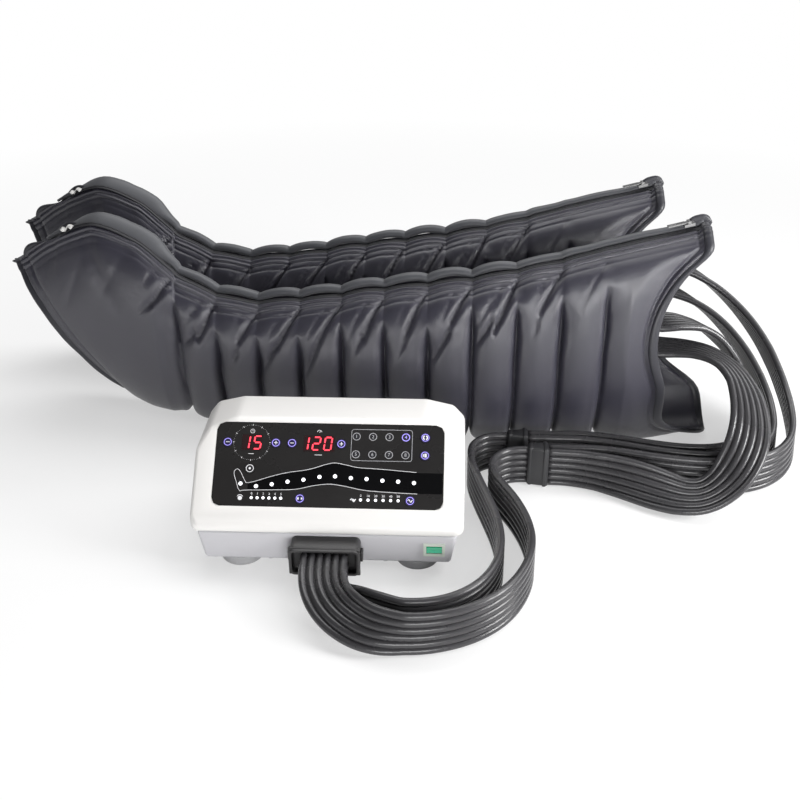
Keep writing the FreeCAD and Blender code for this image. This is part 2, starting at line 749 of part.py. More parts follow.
def make_power_switch():
    face = "base_front"
    bezel = box("bezel_plate", "rocker_x - rocker_length / 2 - bezel_border - 1.5", f"{face} - bezel_thick",
                "rocker_z - rocker_height / 2 - bezel_border - 1.5", "rocker_length + 2 * bezel_border + 3",
                "bezel_thick", "rocker_height + 2 * bezel_border + 3")
    case = box("switch_case", "rocker_x - rocker_length / 2 - bezel_border + fit_gap", f"{face} - bezel_thick / 2",
               "rocker_z - rocker_height / 2 - bezel_border + fit_gap",
               "rocker_length + 2 * bezel_border - 2 * fit_gap", "housing_depth",
               "rocker_height + 2 * bezel_border - 2 * fit_gap")
    hollow = box("switch_hollow", "rocker_x - rocker_length / 2 - fit_gap", f"{face} - bezel_thick - 1",
                 "rocker_z - rocker_height / 2 - fit_gap", "rocker_length + 2 * fit_gap", "bezel_thick + 10",
                 "rocker_height + 2 * fit_gap")
    pin = cylinder("switch_pin", "rocker_x - rocker_length / 2 - 1", f"{face} + 2.5", "rocker_z", "0.9",
                   "rocker_length + 2", "x")
    keep("power_switch_housing", fuse("switch_pinned", cut("switch_open", fuse("switch_body", bezel, case), hollow),
                                      pin))
    body = new_body("rocker_profile")
    half = "(rocker_height / 2 - rocker_gap)"
    lean = f"{half} * tan(rocker_tilt * 1 deg)"
    corners = [
        (f"{face} - bezel_thick - 0.4 - {lean}", f"rocker_z + {half}"),
        (f"{face} - bezel_thick + 0.6", "rocker_z"),
        (f"{face} - bezel_thick - 0.4 + {lean}", f"rocker_z - {half}"),
        (f"{face} + 2.5", f"rocker_z - {half}"),
        (f"{face} + 5", "rocker_z - 2"),
        (f"{face} + 5", "rocker_z + 2"),
        (f"{face} + 2.5", f"rocker_z + {half}"),
    ]
    pad(body, outline(body, "rocker_side_view", "YZ_Plane", corners, "rocker_x - rocker_length / 2"),
        "rocker_length")
    bore = cylinder("rocker_bore", "rocker_x - rocker_length / 2 - 1", f"{face} + 2.5", "rocker_z",
                    "0.9 + running_gap", "rocker_length + 2", "x")
    keep("power_rocker", cut("rocker_finished", body, bore))


def make_mains_inlet():
    outside = "base_rear + 2"
    flange = box("inlet_flange", "inlet_x - inlet_width / 2 - inlet_border", "base_rear",
                 "socket_z - inlet_height / 2 - inlet_border", "inlet_width + 2 * inlet_border", "2",
                 "inlet_height + 2 * inlet_border")
    case = box("inlet_case", "inlet_x - inlet_width / 2 - 1.3", "base_rear - inlet_depth",
               "socket_z - inlet_height / 2 - 1.3", "inlet_width + 2.6", "inlet_depth + 1",
               "inlet_height + 2.6")
    recess = box("inlet_recess", "inlet_x - inlet_width / 2 + 1", f"{outside} - 16",
                 "socket_z - inlet_height / 2 + 1", "inlet_width - 2", "17", "inlet_height - 2")
    keep("mains_inlet", cut("inlet_finished", fuse("inlet_joined", flange, case), recess))
    pins = []
    for index, (dx, dz) in enumerate(((-7, -1.5), (0, 2.5), (7, -1.5))):
        pins.append(box(f"inlet_pin_{index}", f"inlet_x + {dx} - 1", f"{outside} - 16", f"socket_z + {dz} - 2",
                        "2", "pin_length", "4"))
    keep("inlet_pins", group("inlet_pins_group", *pins))
    tray = box("fuse_tray", "fuse_x - fuse_width / 2", "base_rear - 22", "socket_z - fuse_width / 2",
               "fuse_width", "22", "fuse_width")
    face = box("fuse_face", "fuse_x - fuse_width / 2 - 1.5", "base_rear + 0.1", "socket_z - fuse_width / 2 - 1.5",
               "fuse_width + 3", "2.5", "fuse_width + 3")
    neck = box("fuse_neck", "fuse_x - fuse_width / 2", "base_rear - 1", "socket_z - fuse_width / 2",
               "fuse_width", "2", "fuse_width")
    well = box("fuse_well", "fuse_x - fuse_width / 2 + 2", "base_rear - 20", "socket_z - fuse_width / 2 + 3",
               "fuse_width - 4", "17", "fuse_width")
    keep("fuse_drawer", cut("fuse_finished", fuse("fuse_joined", tray, face, neck), well))


# ---------------------------------------------------------------- inside the case

FLOOR = "(base_bottom + base_wall)"


def make_valve():
    top = f"{FLOOR} + valve_height"
    barrel = cylinder("valve_barrel", "0", "valve_y", FLOOR, "valve_radius", "valve_height")
    manifold = box("valve_manifold", "-socket_width / 2", "manifold_front", FLOOR, "socket_width",
                   "manifold_depth", "socket_z + socket_height / 2 - base_bottom - base_wall")
    bridge = box("valve_bridge", "-10", "manifold_front + manifold_depth / 2", FLOOR, "20",
                 "valve_y - manifold_front - manifold_depth / 2", "8")
    stubs = []
    bores = []
    for name, x, z in port_places():
        stubs.append(cylinder(f"stub_{name}", x, "manifold_front - stub_length", z, "nozzle_radius",
                              "stub_length + 1", "y"))
        bores.append(cylinder(f"stub_air_{name}", x, "manifold_front - stub_length - 1", z, "air_radius",
                              "stub_length + manifold_depth / 2", "y"))
    inlet = cylinder("valve_inlet", "valve_radius - 3", "valve_y + 6", f"{FLOOR} + 14", "nozzle_radius",
                     "stub_length + 1", "x")
    chamber = cylinder("valve_chamber", "0", "valve_y", f"{FLOOR} + 4", "rotor_radius + running_gap",
                       "valve_height")
    body = cut("valve_body", fuse("valve_joined", barrel, manifold, bridge, inlet, *stubs), chamber, *bores)
    cap = cut("valve_lid", cylinder("lid_disc", "0", "valve_y", top, "valve_radius", "valve_cap"),
              cylinder("lid_hole", "0", "valve_y", f"{top} - 1", "rotor_shaft + running_gap", "valve_cap + 2"))
    keep("valve_housing", group("valve_housing_group", body, cap))


def gear_shape(teeth, thick, start):
    """A spur gear about +Z with straight-flanked teeth, one tooth centred on angle start."""
    pitch_radius = teeth * size("gear_module") / 2
    tip = pitch_radius + size("gear_module") * 0.85
    root = pitch_radius - size("gear_module") * 1.1
    step = 2 * math.pi / teeth
    corners = []
    for tooth in range(int(teeth)):
        middle = start + tooth * step
        for share, radius in ((-0.34, root), (-0.13, tip), (0.13, tip), (0.34, root)):
            angle = middle + share * step
            corners.append(Vector(radius * math.cos(angle), radius * math.sin(angle), 0))
    return Part.Face(Part.makePolygon(corners + corners[:1])).extrude(Vector(0, 0, thick))


def gear(name, teeth, start, x, y, z):
    item = document.addObject("Part::Feature", name)
    item.Shape = gear_shape(size(teeth), size("gear_thick"), start)
    return put(item, x, y, z)


def make_valve_drive():
    top = f"({FLOOR} + valve_height + valve_cap)"
    gear_low = f"{top} + gear_lift"
    spacing = "(gear_teeth + pinion_teeth) * gear_module / 2"
    disc = cylinder("rotor_disc", "0", "valve_y", f"{FLOOR} + 4 + running_gap", "rotor_radius",
                    "valve_height - 4 - 2 * running_gap")
    shaft = cylinder("rotor_stem", "0", "valve_y", f"{FLOOR} + valve_height - 2", "rotor_shaft",
                     "valve_cap + gear_lift + gear_thick + 2")
    wheel = gear("rotor_gear", "gear_teeth", math.pi / 2, "0", "valve_y", gear_low)
    keep("valve_rotor", fuse("rotor_joined", disc, shaft, wheel))
    half_step = math.pi / size("pinion_teeth")
    pinion = gear("pinion_gear", "pinion_teeth", -math.pi / 2 + half_step, "0", f"valve_y + {spacing}", gear_low)
    bore = cylinder("pinion_bore", "0", f"valve_y + {spacing}", f"{gear_low} - 1", "1.5 + running_gap",
                    "gear_thick + 2")
    keep("motor_pinion", cut("pinion_finished", pinion, bore))
    can = cylinder("motor_can", "0", f"valve_y + {spacing}", FLOOR, "motor_radius",
                   "valve_height + valve_cap + gear_lift - 1")
    stem = cylinder("motor_stem", "0", f"valve_y + {spacing}", FLOOR, "1.5",
                    "valve_height + valve_cap + gear_lift + gear_thick")
    keep("valve_motor", fuse("motor_joined", can, stem))


def make_pump():
    low = f"{FLOOR} + mount_height"
    case = block("pump_case", "pump_x", "pump_y", low, "pump_length", "pump_width", "pump_height")
    bore = cylinder("pump_bore", "pump_x - armature_length / 2 - armature_travel - 1", "pump_y",
                    f"{low} + pump_height / 2", "armature_radius + running_gap",
                    "armature_length + 2 * armature_travel + 2", "x")
    outlet = cylinder("pump_outlet", "pump_x - pump_length / 2 - stub_length", "valve_y + 6",
                      f"{FLOOR} + 14", "nozzle_radius", "stub_length + 2", "x")
    fins = []
    for index in range(7):
        fins.append(block(f"pump_fin_{index}", f"pump_x + ({index} - 3) * 9", "pump_y",
                          f"{low} + pump_height - 1", "2.5", "pump_width - 6", "6"))
    keep("pump_housing", cut("pump_bored", fuse("pump_joined", case, outlet, *fins), bore))
    keep("pump_armature", cylinder("armature_rod", "pump_x - armature_length / 2", "pump_y",
                                   f"{low} + pump_height / 2", "armature_radius", "armature_length", "x"))
    mounts = []
    for index, (sx, sy) in enumerate(((-1, -1), (1, -1), (1, 1), (-1, 1))):
        mounts.append(cylinder(f"pump_mount_{index}", f"pump_x + {sx} * (pump_length / 2 - 9)",
                               f"pump_y + {sy} * (pump_width / 2 - 9)", FLOOR, "mount_radius",
                               "mount_height"))
    keep("pump_mounts", group("pump_mounts_group", *mounts))


def air_tube(name, x, y, z, length, along):
    wall = cylinder(f"{name}_wall", x, y, z, "tube_radius", length, along)
    shift = {"x": (f"{x} - 1", y, z), "y": (x, f"{y} - 1", z)}[along]
    hollow = cylinder(f"{name}_hollow", *shift, "nozzle_radius + running_gap", f"{length} + 2", along)
    return cut(name, wall, hollow)


def make_air_tubes():
    start = "base_front + socket_depth + 1"
    length = "manifold_front - base_front - socket_depth - 2"
    tubes = [air_tube(f"outlet_tube_{name}", x, start, z, length, "y") for name, x, z in port_places()]
    keep("outlet_tubes", group("outlet_tubes_group", *tubes))
    start = "valve_radius + 1"
    length = "pump_x - pump_length / 2 - valve_radius - 2"
    keep("supply_tube", air_tube("supply_tube_run", start, "valve_y + 6", f"{FLOOR} + 14", length, "x"))


def make_boards():
    keep("power_supply", block("supply_block", "supply_x", "supply_y", FLOOR, "supply_width",
                               "supply_length", "supply_height"))
    plate = block("board_sheet", "main_board_x", "main_board_y", f"{FLOOR} + standoff_height",
                  "main_board_width", "main_board_length", "board_thick")
    chips = []
    for index in range(3):
        chips.append(block(f"chip_{index}", "main_board_x", f"main_board_y + ({index} - 1) * 22",
                           f"{FLOOR} + standoff_height", "14", "12", "board_thick + 2.5"))
    keep("main_board", fuse("board_joined", plate, *chips))
    posts = []
    for index, (sx, sy) in enumerate(((-1, -1), (1, -1), (1, 1), (-1, 1))):
        posts.append(cylinder(f"standoff_{index}", f"main_board_x + {sx} * (main_board_width / 2 - 4)",
                              f"main_board_y + {sy} * (main_board_length / 2 - 4)", FLOOR,
                              "standoff_radius", "standoff_height"))
    keep("board_standoffs", group("board_standoffs_group", *posts))


# ---------------------------------------------------------------- leg sleeves

def sleeve_section(name):
    return [size(f"{name}_{field}") for field in SECTION_FIELDS]


def between(first, second, share):
    return [a + (b - a) * share for a, b in zip(first, second)]


def section_wire(section, inset):
    """An upright or leaning ellipse through the section's lowest and highest points."""
    low_x, low_z, high_x, high_z, half, side = section
    reach = math.hypot(high_x - low_x, high_z - low_z) / 2 - inset
    middle = Vector((low_x + high_x) / 2, side, (low_z + high_z) / 2)
    up = Vector(high_x - low_x, 0, high_z - low_z).normalize()
    across = Vector(0, 1, 0)
    ellipse = Part.Ellipse(middle + up * reach, middle + across * (half - inset), middle)
    return Part.Wire([ellipse.toShape()])


def sleeve_loft(inset, sole_step, mouth_step):
    """The sleeve's form, moved inwards; its two ends are moved along the sleeve as well."""
    names = list(SLEEVE_SECTIONS)
    sections = [sleeve_section(name) for name in names]
    first = between(sections[0], sections[1], sole_step)
    last = between(sections[-2], sections[-1], 1 + mouth_step)
    wires = [section_wire(section, inset) for section in [first] + sections[1:-1] + [last]]
    return Part.makeLoft(wires, True, True)


def mouth_tool(grow):
    """The round bite that shapes the sleeve's open end."""
    radius = size("mouth_arc_radius") + grow
    start = Vector(size("mouth_arc_x"), -200, size("mouth_arc_z"))
    return Part.makeCylinder(radius, 400, start, Vector(0, 1, 0))


def slab(low, high):
    return Part.makeBox(high - low, 600, 700, Vector(low, -300, -100))


def chamber_slabs(gap):
    first = size("first_seam")
    pitch = size("chamber_pitch")
    count = int(size("chambers"))
    half = size("seam_width") / 2 + gap
    yield slab(first - 400, first - half)
    for index in range(count - 2):
        low = first + index * pitch
        yield slab(low + half, low + pitch - half)
    yield slab(first + (count - 2) * pitch + half, first + count * pitch + 200)


def chamber_rings(gap):
    """Twelve rings inside the sleeve's wall, one after another along the leg."""
    fabric = size("fabric") + gap
    wall = size("sleeve_wall")
    outer = sleeve_loft(fabric, 0.3 + gap / 20, -0.03)
    inner = sleeve_loft(wall - fabric, 0.75 - gap / 20, 0.05)
    ring = outer.cut(inner).cut(mouth_tool(fabric))
    return [max(ring.common(part).Solids, key=lambda solid: solid.Volume) for part in chamber_slabs(gap)]


def feature(name, shape):
    item = document.addObject("Part::Feature", name)
    item.Shape = shape
    return item


def sleeve_shapes():
    wall = size("sleeve_wall")
    outer = sleeve_loft(0, 0, 0)
    cavity = sleeve_loft(wall, 0.95, 0.05)
    body = outer.cut(cavity).cut(mouth_tool(0))
    for ring in chamber_rings(0):
        body = body.cut(ring)
    bladders = Part.makeCompound(chamber_rings(size("bladder_gap")))
    return body.Solids[0], bladders


def spine_points():
    for name in SLEEVE_SECTIONS:
        low_x, low_z, high_x, high_z, half, side = sleeve_section(name)
        yield high_x, side


def tape_shape():
    """A strip that lies along the top of the sleeve, a little proud of it."""
    gap = size("bladder_gap")
    skin = sleeve_loft(-gap - size("tape_thick"), -0.1, 0).cut(sleeve_loft(-gap, -0.2, 0.1))
    left = [Vector(x, y + size("tape_half"), 60) for x, y in spine_points()]
    right = [Vector(x, y - size("tape_half"), 60) for x, y in spine_points()]
    corners = left + right[::-1]
    strip = Part.Face(Part.makePolygon(corners + corners[:1])).extrude(Vector(0, 0, 400))
    strip = strip.common(slab(size("tape_start"), size("slider_x") + size("slider_length")))
    return max(skin.common(strip).Solids, key=lambda solid: solid.Volume)


def zip_frame():
    """The straight end of the zip: its direction, and the frame in which the slider is drawn."""
    thigh = sleeve_section("thigh")
    mouth = sleeve_section("mouth")
    start = Vector(thigh[2], thigh[5], thigh[3])
    end = Vector(mouth[2], mouth[5], mouth[3])
    along = (end - start).normalize()
    across = Vector(0, 0, 1).cross(along).normalize()
    up = along.cross(across).normalize()
    share = (size("slider_x") - start.x) / (end.x - start.x)
    seat = start + (end - start) * share + up * (size("tape_thick") + 2 * size("bladder_gap"))
    return Placement(seat, Rotation(along, across, up, "XYZ"))


def slider_shape():
    length = size("slider_length")
    width = size("slider_width")
    height = size("slider_height")
    body = Part.makeBox(length, width, height, Vector(-length / 2, -width / 2, 0))
    axle_height = height + 1.6
    for side in (-1, 1):
        ear = Part.makeBox(4, 1.4, 3.4, Vector(-2, side * 3.3 - 0.7, height - 0.2))
        body = body.fuse(ear)
    axle = Part.makeCylinder(0.7, 6.6, Vector(0, -3.3, axle_height), Vector(0, 1, 0))
    return body.fuse(axle).removeSplitter()


def pull_shape():
    axle_height = size("slider_height") + 1.6
    length = size("pull_length")
    width = size("pull_width")
    thick = size("pull_thick")
    eye = Part.makeCylinder(1.4, 4.6, Vector(0, -2.3, axle_height), Vector(0, 1, 0))
    neck = Part.makeBox(6, 4.6, thick, Vector(-6, -2.3, axle_height - thick / 2))
    tab = Part.makeBox(length - 5, width, thick, Vector(-length, -width / 2, axle_height - thick / 2))
    hole = Part.makeCylinder(0.7 + size("running_gap"), 10, Vector(0, -5, axle_height), Vector(0, 1, 0))
    slot = Part.makeBox(length / 3, width / 2.6, 10, Vector(-length + 2, -width / 5.2, axle_height - 5))
    return eye.fuse(neck).fuse(tab).cut(hole).cut(slot).removeSplitter()


def port_shape():
    """The manifold inside the mouth, on the inner wall: two ribbons end at its face."""
    width = size("ribbon_width")
    front = size("port_first") - size("ribbon_thick") / 2 - size("port_border") + size("console_front")
    height = width + 2 * size("port_border")
    blank = Part.makeBox(size("port_length"), 60, height,
                         Vector(size("port_x"), front - size("near_y"), size("port_level") - height / 2))
    lined = sleeve_loft(size("sleeve_wall") + size("bladder_gap"), 0.9, 0.05)
    return max(blank.common(lined).Solids, key=lambda solid: solid.Volume)


def make_sleeves():
    body, bladders = sleeve_shapes()
    tape = tape_shape()
    frame = zip_frame()
    slider = slider_shape()
    slider.Placement = frame
    pull = pull_shape()
    pull.Placement = frame
    port = port_shape()
    pieces = {"sleeve": body, "air_chambers": bladders, "zip_tape": tape, "zip_slider": slider,
              "zip_pull": pull, "port_block": port}
    for side in ("near", "far"):
        for label, shape in pieces.items():
            item = feature(f"{side}_{label}_form", shape.copy())
            keep(f"{side}_{label}", item, f"{side}_x", f"{side}_y")


# ---------------------------------------------------------------- hose ribbons

def splitter_frames():
    for place in ("front", "rear"):
        yield place, size(f"{place}_splitter_x"), size(f"{place}_splitter_y")


def route_ends():
    """The places where the ribbons meet the plug, the splitters and the sleeves' ports."""
    level = size("ribbon_level")
    mouth = size("base_front") - size("plug_gap") - size("plug_length") + size("mouth_depth")
    ends = {}
    for name, side in (("upper", 1), ("lower", -1)):
        ends[f"{name}_port"] = (0, mouth, size("socket_z") + side * size("row_pitch") / 2, 0)
    for place, x, y in splitter_frames():
        out = x + size("splitter_length")
        ends[f"{place}_splitter_in"] = (x, y, level, 90)
        first, second = ("near", "far") if place == "front" else ("far", "near")
        ends[f"{place}_splitter_{first}"] = (out, y - size("branch_pitch") / 2, level, 90)
        ends[f"{place}_splitter_{second}"] = (out, y + size("branch_pitch") / 2, level, 90)
    face = size("port_x") + size("port_length") + size("near_x") - size("console_x")
    for side in ("near", "far"):
        shift_x = size(f"{side}_x") - size("near_x")
        shift_y = size(f"{side}_y") - size("near_y")
        for index, order in enumerate(("first", "second")):
            y = size("port_first") + index * size("port_pitch_y")
            place = (face + shift_x, y + shift_y, size("port_level"), 90)
            ends[f"{side}_port_{order}"] = place
            ends[f"{side}_approach_{order}"] = (place[0] + size("port_run"),) + place[1:]
    return ends


def route_points(name):
    ends = route_ends()
    points = [ends[point] if isinstance(point, str) else point for point in HOSE_ROUTES[name]]
    return [Vector(*point[:3]) for point in points], [point[3] for point in points]


def route_samples(name):
    """Straight runs joined by tangent arcs, as places, directions and rolls along the ribbon."""
    points, rolls = route_points(name)
    samples = [(points[0], (points[1] - points[0]).normalize(), rolls[0])]
    radii = []
    for index in range(1, len(points) - 1):
        before = points[index] - points[index - 1]
        after = points[index + 1] - points[index]
        reach = 0.45 * min(before.Length, after.Length)
        start_share = reach / before.Length
        end_share = reach / after.Length
        inward = Vector(before).normalize()
        outward = Vector(after).normalize()
        turn = inward.getAngle(outward)
        normal = (outward - inward * math.cos(turn)).normalize()
        radius = reach / math.tan(turn / 2)
        radii.append(radius)
        start = points[index] - inward * reach
        steps = max(2, math.ceil(math.degrees(turn) / 10))
        roll_in = rolls[index] + (rolls[index - 1] - rolls[index]) * start_share
        roll_out = rolls[index] + (rolls[index + 1] - rolls[index]) * end_share
        for step in range(steps + 1):
            angle = turn * step / steps
            place = start + (inward * math.sin(angle) + normal * (1 - math.cos(angle))) * radius
            heading = inward * math.cos(angle) + normal * math.sin(angle)
            samples.append((place, heading, roll_in + (roll_out - roll_in) * step / steps))
    samples.append((points[-1], (points[-1] - points[-2]).normalize(), rolls[-1]))
    return samples, min(radii)


def ribbon_wire(place, heading, roll):
    across = Vector(0, 0, 1).cross(heading).normalize()
    lift = heading.cross(across)
    turn = math.radians(roll)
    wide = (across * math.cos(turn) + lift * math.sin(turn)) * (size("ribbon_width") / 2)
    thick = (lift * math.cos(turn) - across * math.sin(turn)) * (size("ribbon_thick") / 2)
    corners = [place + wide + thick, place - wide + thick, place - wide - thick, place + wide - thick]
    return Part.makePolygon(corners + corners[:1])


def make_hoses():
    for name in HOSE_ROUTES:
        samples, smallest = route_samples(name)
        shape = Part.makeLoft([ribbon_wire(*sample) for sample in samples], True, True)
        length = sum((b[0] - a[0]).Length for a, b in zip(samples, samples[1:]))
        share = shape.Volume / (length * size("ribbon_width") * size("ribbon_thick"))
        print(f"{name}: length {length:.0f}, smallest radius {smallest:.0f}, volume share {share:.3f}")
        keep(name, feature(f"{name}_band", shape))


def splitter_shape(x, y):
    """One ribbon in, two out: a flat tapered body with a collar at each end."""
    border = size("splitter_border")
    half_width = size("ribbon_width") / 2 + border
    level = size("ribbon_level") + border
    out = x + size("splitter_length")
    wires = []
    for place, half in ((x, size("ribbon_thick") / 2 + border),
                        (out, (size("ribbon_thick") + size("branch_pitch")) / 2 + border)):
        corners = [Vector(place, y + half, level + half_width - 2 * border),
                   Vector(place, y - half, level + half_width - 2 * border),
                   Vector(place, y - half, level - half_width), Vector(place, y + half, level - half_width)]
        wires.append(Part.makePolygon(corners + corners[:1]))
    return Part.makeLoft(wires, True, True)


def make_splitters():
    bodies = [feature(f"{place}_splitter", splitter_shape(x, y)) for place, x, y in splitter_frames()]
    keep("hose_splitters", group("hose_splitters_group", *bodies))


# ---------------------------------------------------------------- build and export

def build():
    fill_sheet()
    make_top_cover()
    make_base_tray()
    make_feet()
    make_case_screws()
    make_panel()
    make_keys()
    make_hose_socket()
    make_hose_plug()
    make_power_switch()
    make_mains_inlet()
    make_valve()
    make_valve_drive()
    make_pump()
    make_air_tubes()
    make_boards()
    make_sleeves()
    make_splitters()
    make_hoses()
    document.recompute()


def check():
    for item in document.Objects:
        if "Invalid" in item.State or "Error" in item.State:
            raise RuntimeError(f"{item.Name} failed: {item.State}")
    for holder in nodes:
        if holder.Shape.isNull() or not holder.Shape.isValid() or not holder.Shape.Solids:
            raise RuntimeError(f"{holder.Label} has no valid solid")


def export():
    os.makedirs("parts", exist_ok=True)
    for holder in nodes:
        solids = holder.Shape.Solids
        shape = solids[0] if len(solids) == 1 else Part.makeCompound(solids)
        shape.exportStep(f"parts/{holder.Label}.step")
        bounds = shape.BoundBox
        print(f"{holder.Label}: {len(solids)} solids, x {bounds.XMin:.1f} to {bounds.XMax:.1f}, "
              f"y {bounds.YMin:.1f} to {bounds.YMax:.1f}, z {bounds.ZMin:.1f} to {bounds.ZMax:.1f}, "
              f"volume {sum(solid.Volume for solid in solids):.0f}")


build()
check()
export()
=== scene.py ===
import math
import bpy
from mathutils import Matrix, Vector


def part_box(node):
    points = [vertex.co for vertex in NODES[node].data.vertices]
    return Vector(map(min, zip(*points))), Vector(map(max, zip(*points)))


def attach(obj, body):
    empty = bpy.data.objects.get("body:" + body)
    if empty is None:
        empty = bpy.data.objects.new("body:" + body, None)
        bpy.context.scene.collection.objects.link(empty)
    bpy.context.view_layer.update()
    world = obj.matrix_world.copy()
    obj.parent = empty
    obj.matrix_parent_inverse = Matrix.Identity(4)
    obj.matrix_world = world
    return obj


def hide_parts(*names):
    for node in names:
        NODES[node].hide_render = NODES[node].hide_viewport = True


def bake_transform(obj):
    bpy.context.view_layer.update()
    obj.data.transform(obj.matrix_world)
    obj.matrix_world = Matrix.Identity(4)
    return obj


bl_info = {
    "name": "Compression therapy pump",
    "version": (1, 0, 0),
    "blender": (4, 5, 0),
    "location": "View3D > Sidebar > Therapy Pump",
    "description": "Models a twelve-chamber pump console, its hose ribbons and its leg sleeves",
    "category": "Object",
}

import bpy
import numpy as np
from bpy.props import FloatProperty, FloatVectorProperty, IntProperty, PointerProperty, StringProperty
from mathutils import Matrix, Vector, noise

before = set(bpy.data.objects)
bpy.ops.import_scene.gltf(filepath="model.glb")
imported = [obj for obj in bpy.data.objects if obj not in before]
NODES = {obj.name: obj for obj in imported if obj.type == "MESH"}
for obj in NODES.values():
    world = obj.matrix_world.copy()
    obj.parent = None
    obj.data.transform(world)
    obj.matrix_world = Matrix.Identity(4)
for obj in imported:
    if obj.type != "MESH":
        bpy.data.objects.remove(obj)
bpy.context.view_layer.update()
MM = 0.001
UP = Vector((0, 0, 1))

# The console's own frame starts at its middle, its front lip and the table.
COVER_LOW, COVER_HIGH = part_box("top_cover")
CONSOLE = Vector(((COVER_LOW.x + COVER_HIGH.x) / 2, COVER_LOW.y, 0))

# Sections of a sleeve, in millimetres from its own middle: the lowest and highest points
# (x and z), the half width, and how far the middle is off the sleeve's own line.
SLEEVE_SECTIONS = (
    (-328, 16, -448, 213, 36, 82),
    (-313, 6, -402, 247, 42, 75),
    (-284, 0, -334, 273, 45, 62),
    (-250, 0, -274, 255, 45, 50),
    (-206, 0, -214, 209, 44, 36),
    (-130, 0, -130, 186, 46, 18),
    (0, 0, 0, 208, 52, 0),
    (172, 0, 172, 237, 60, -10),
    (300, 0, 300, 265, 64, -3),
    (468, 0, 440, 294, 66, 16),
)
SOLE_TIP_X = -448 * MM
KNEE_NEAR_Y = (-10 - 60) * MM
FIRST_SEAM = -225 * MM
CHAMBER_PITCH = 54.5 * MM
SEAMS = 11
MOUTH_CENTRE = Vector((498, 0, 165)) * MM
MOUTH_RADIUS = 118 * MM
SIDES = ("near", "far")

# Routes of the hose ribbons in the console's frame: x, y, z in millimetres and the roll of
# the ribbon in degrees, 0 lying flat and 90 standing on its edge. Where a place has only
# x and y, the ribbon stands on its edge on the table.
ON_EDGE = (26.5, 90)
PORT_LEVEL = 145
HOSE_ROUTES = {
    "plug_hose_upper": (
        (0, -14.3, 35.5, 0), (0, -44, 35.5, 0), (6, -74, 32, 12), (24, -104, 31, 38),
        (54, -127, 29, 65), (92, -131, 26.6, 88), (130, -125), (166, -108), (196, -80), (216, -42),
        (225, 0), (221, 42), (209, 82), (194, 114), (184, 138), (183, 154), (188, 169), (198.5, 181),
        (213, 188), (228, 188),
    ),
    "plug_hose_lower": (
        (0, -14.3, 22.5, 0), (0, -36, 22.5, 0), (6, -60, 17.5, 10), (22, -82, 19.4, 32),
        (50, -100, 26.4, 62), (88, -109, 26.6, 88), (124, -104), (153, -88), (175, -62), (188, -28),
        (191, 10), (186, 50), (176, 90), (166, 128), (159.5, 158), (158, 184), (162, 200), (173, 213),
        (187.5, 220), (204, 220),
    ),
    "near_hose_lower": (
        (254, 183), (276, 183), (312, 175, 26.7, 84), (350, 158, 26.4, 65), (384, 142, 23, 44),
        (412, 134, 19, 26), (438, 132, 23, 18), (462, 138, 42, 15), (480, 155, 67, 15),
        (490, 179, 89, 18), (492, 208, 106, 22), (487, 236, 122, 25), (473, 262, 133, 20),
        (449, 283, 138, 10), (422, 295, 137, 4), (394, 300, 135, 0), (368, 304, 136, 24),
        (342, 312, 141, 56), (320, 320.5, PORT_LEVEL, 90), (300, 320.5, PORT_LEVEL, 90),
    ),
    "near_hose_upper": (
        (230, 225), (256, 225), (296, 228), (336, 221), (376, 209.5), (416, 200.5), (454, 199, 27, 89),
        (486, 208, 29, 86), (508, 228, 36, 80), (519, 256, 50, 72), (519, 286, 70, 60),
        (508, 312, 96, 46), (486, 328, 124, 30), (456, 331, 150, 14), (424, 322, 162, 5),
        (394, 314, 164, 0), (368, 322, 160, 24), (342, 331, 152, 58), (320, 331, PORT_LEVEL, 90),
        (300, 331, PORT_LEVEL, 90),
    ),
    "far_hose_lower": (
        (230, 215), (256, 215), (296, 215.5), (336, 207), (376, 195), (416, 186), (454, 183),
        (492, 190), (520, 209, 27, 89), (538, 238, 29, 87), (546, 272, 35, 84), (547, 306, 46, 80),
        (541, 340, 64, 72), (527, 372, 88, 60), (504, 400, 114, 46), (474, 421, 137, 30),
        (440, 434, 152, 16), (406, 443, 158, 6), (372, 450, 156, 4), (345, 455, 150, 18),
        (318, 462, 146, 46), (285, 470.5, PORT_LEVEL, 90), (265, 470.5, PORT_LEVEL, 90),
    ),
    "far_hose_upper": (
        (254, 193), (280, 193), (318, 193.5), (354, 185), (390, 175.5), (426, 169.5), (462, 169),
        (498, 175), (530, 192, 27, 90), (554, 220, 29, 88), (567, 256, 34, 85), (571, 296, 46, 81),
        (568, 336, 64, 75), (557, 374, 90, 66), (537, 406, 118, 52), (508, 431, 146, 36),
        (474, 446, 170, 20), (438, 452, 186, 8), (402, 456, 190, 2), (370, 461, 185, 8),
        (342, 469, 173, 28), (316, 478, 158, 60), (285, 481, PORT_LEVEL, 90),
        (265, 481, PORT_LEVEL, 90),
    ),
}
TUBES = 6
TUBE_RADIUS = 4.3 * MM


# ---------------------------------------------------------------- settings

class StageSettings(bpy.types.PropertyGroup):
    floor_colour: FloatVectorProperty(name="Floor", description="Colour of the floor", subtype="COLOR",
                                      default=(0.97, 0.97, 0.97), min=0, max=1)
    key_power: FloatProperty(name="Key light", description="Power of the light above", subtype="POWER",
                             default=16.0, min=0)
    sun_level: FloatProperty(name="Sun", description="Strength of the broad light from the upper right",
                             default=1.3, min=0)
    sky_level: FloatProperty(name="Sky", description="Strength of the even light from all round",
                             default=0.17, min=0)


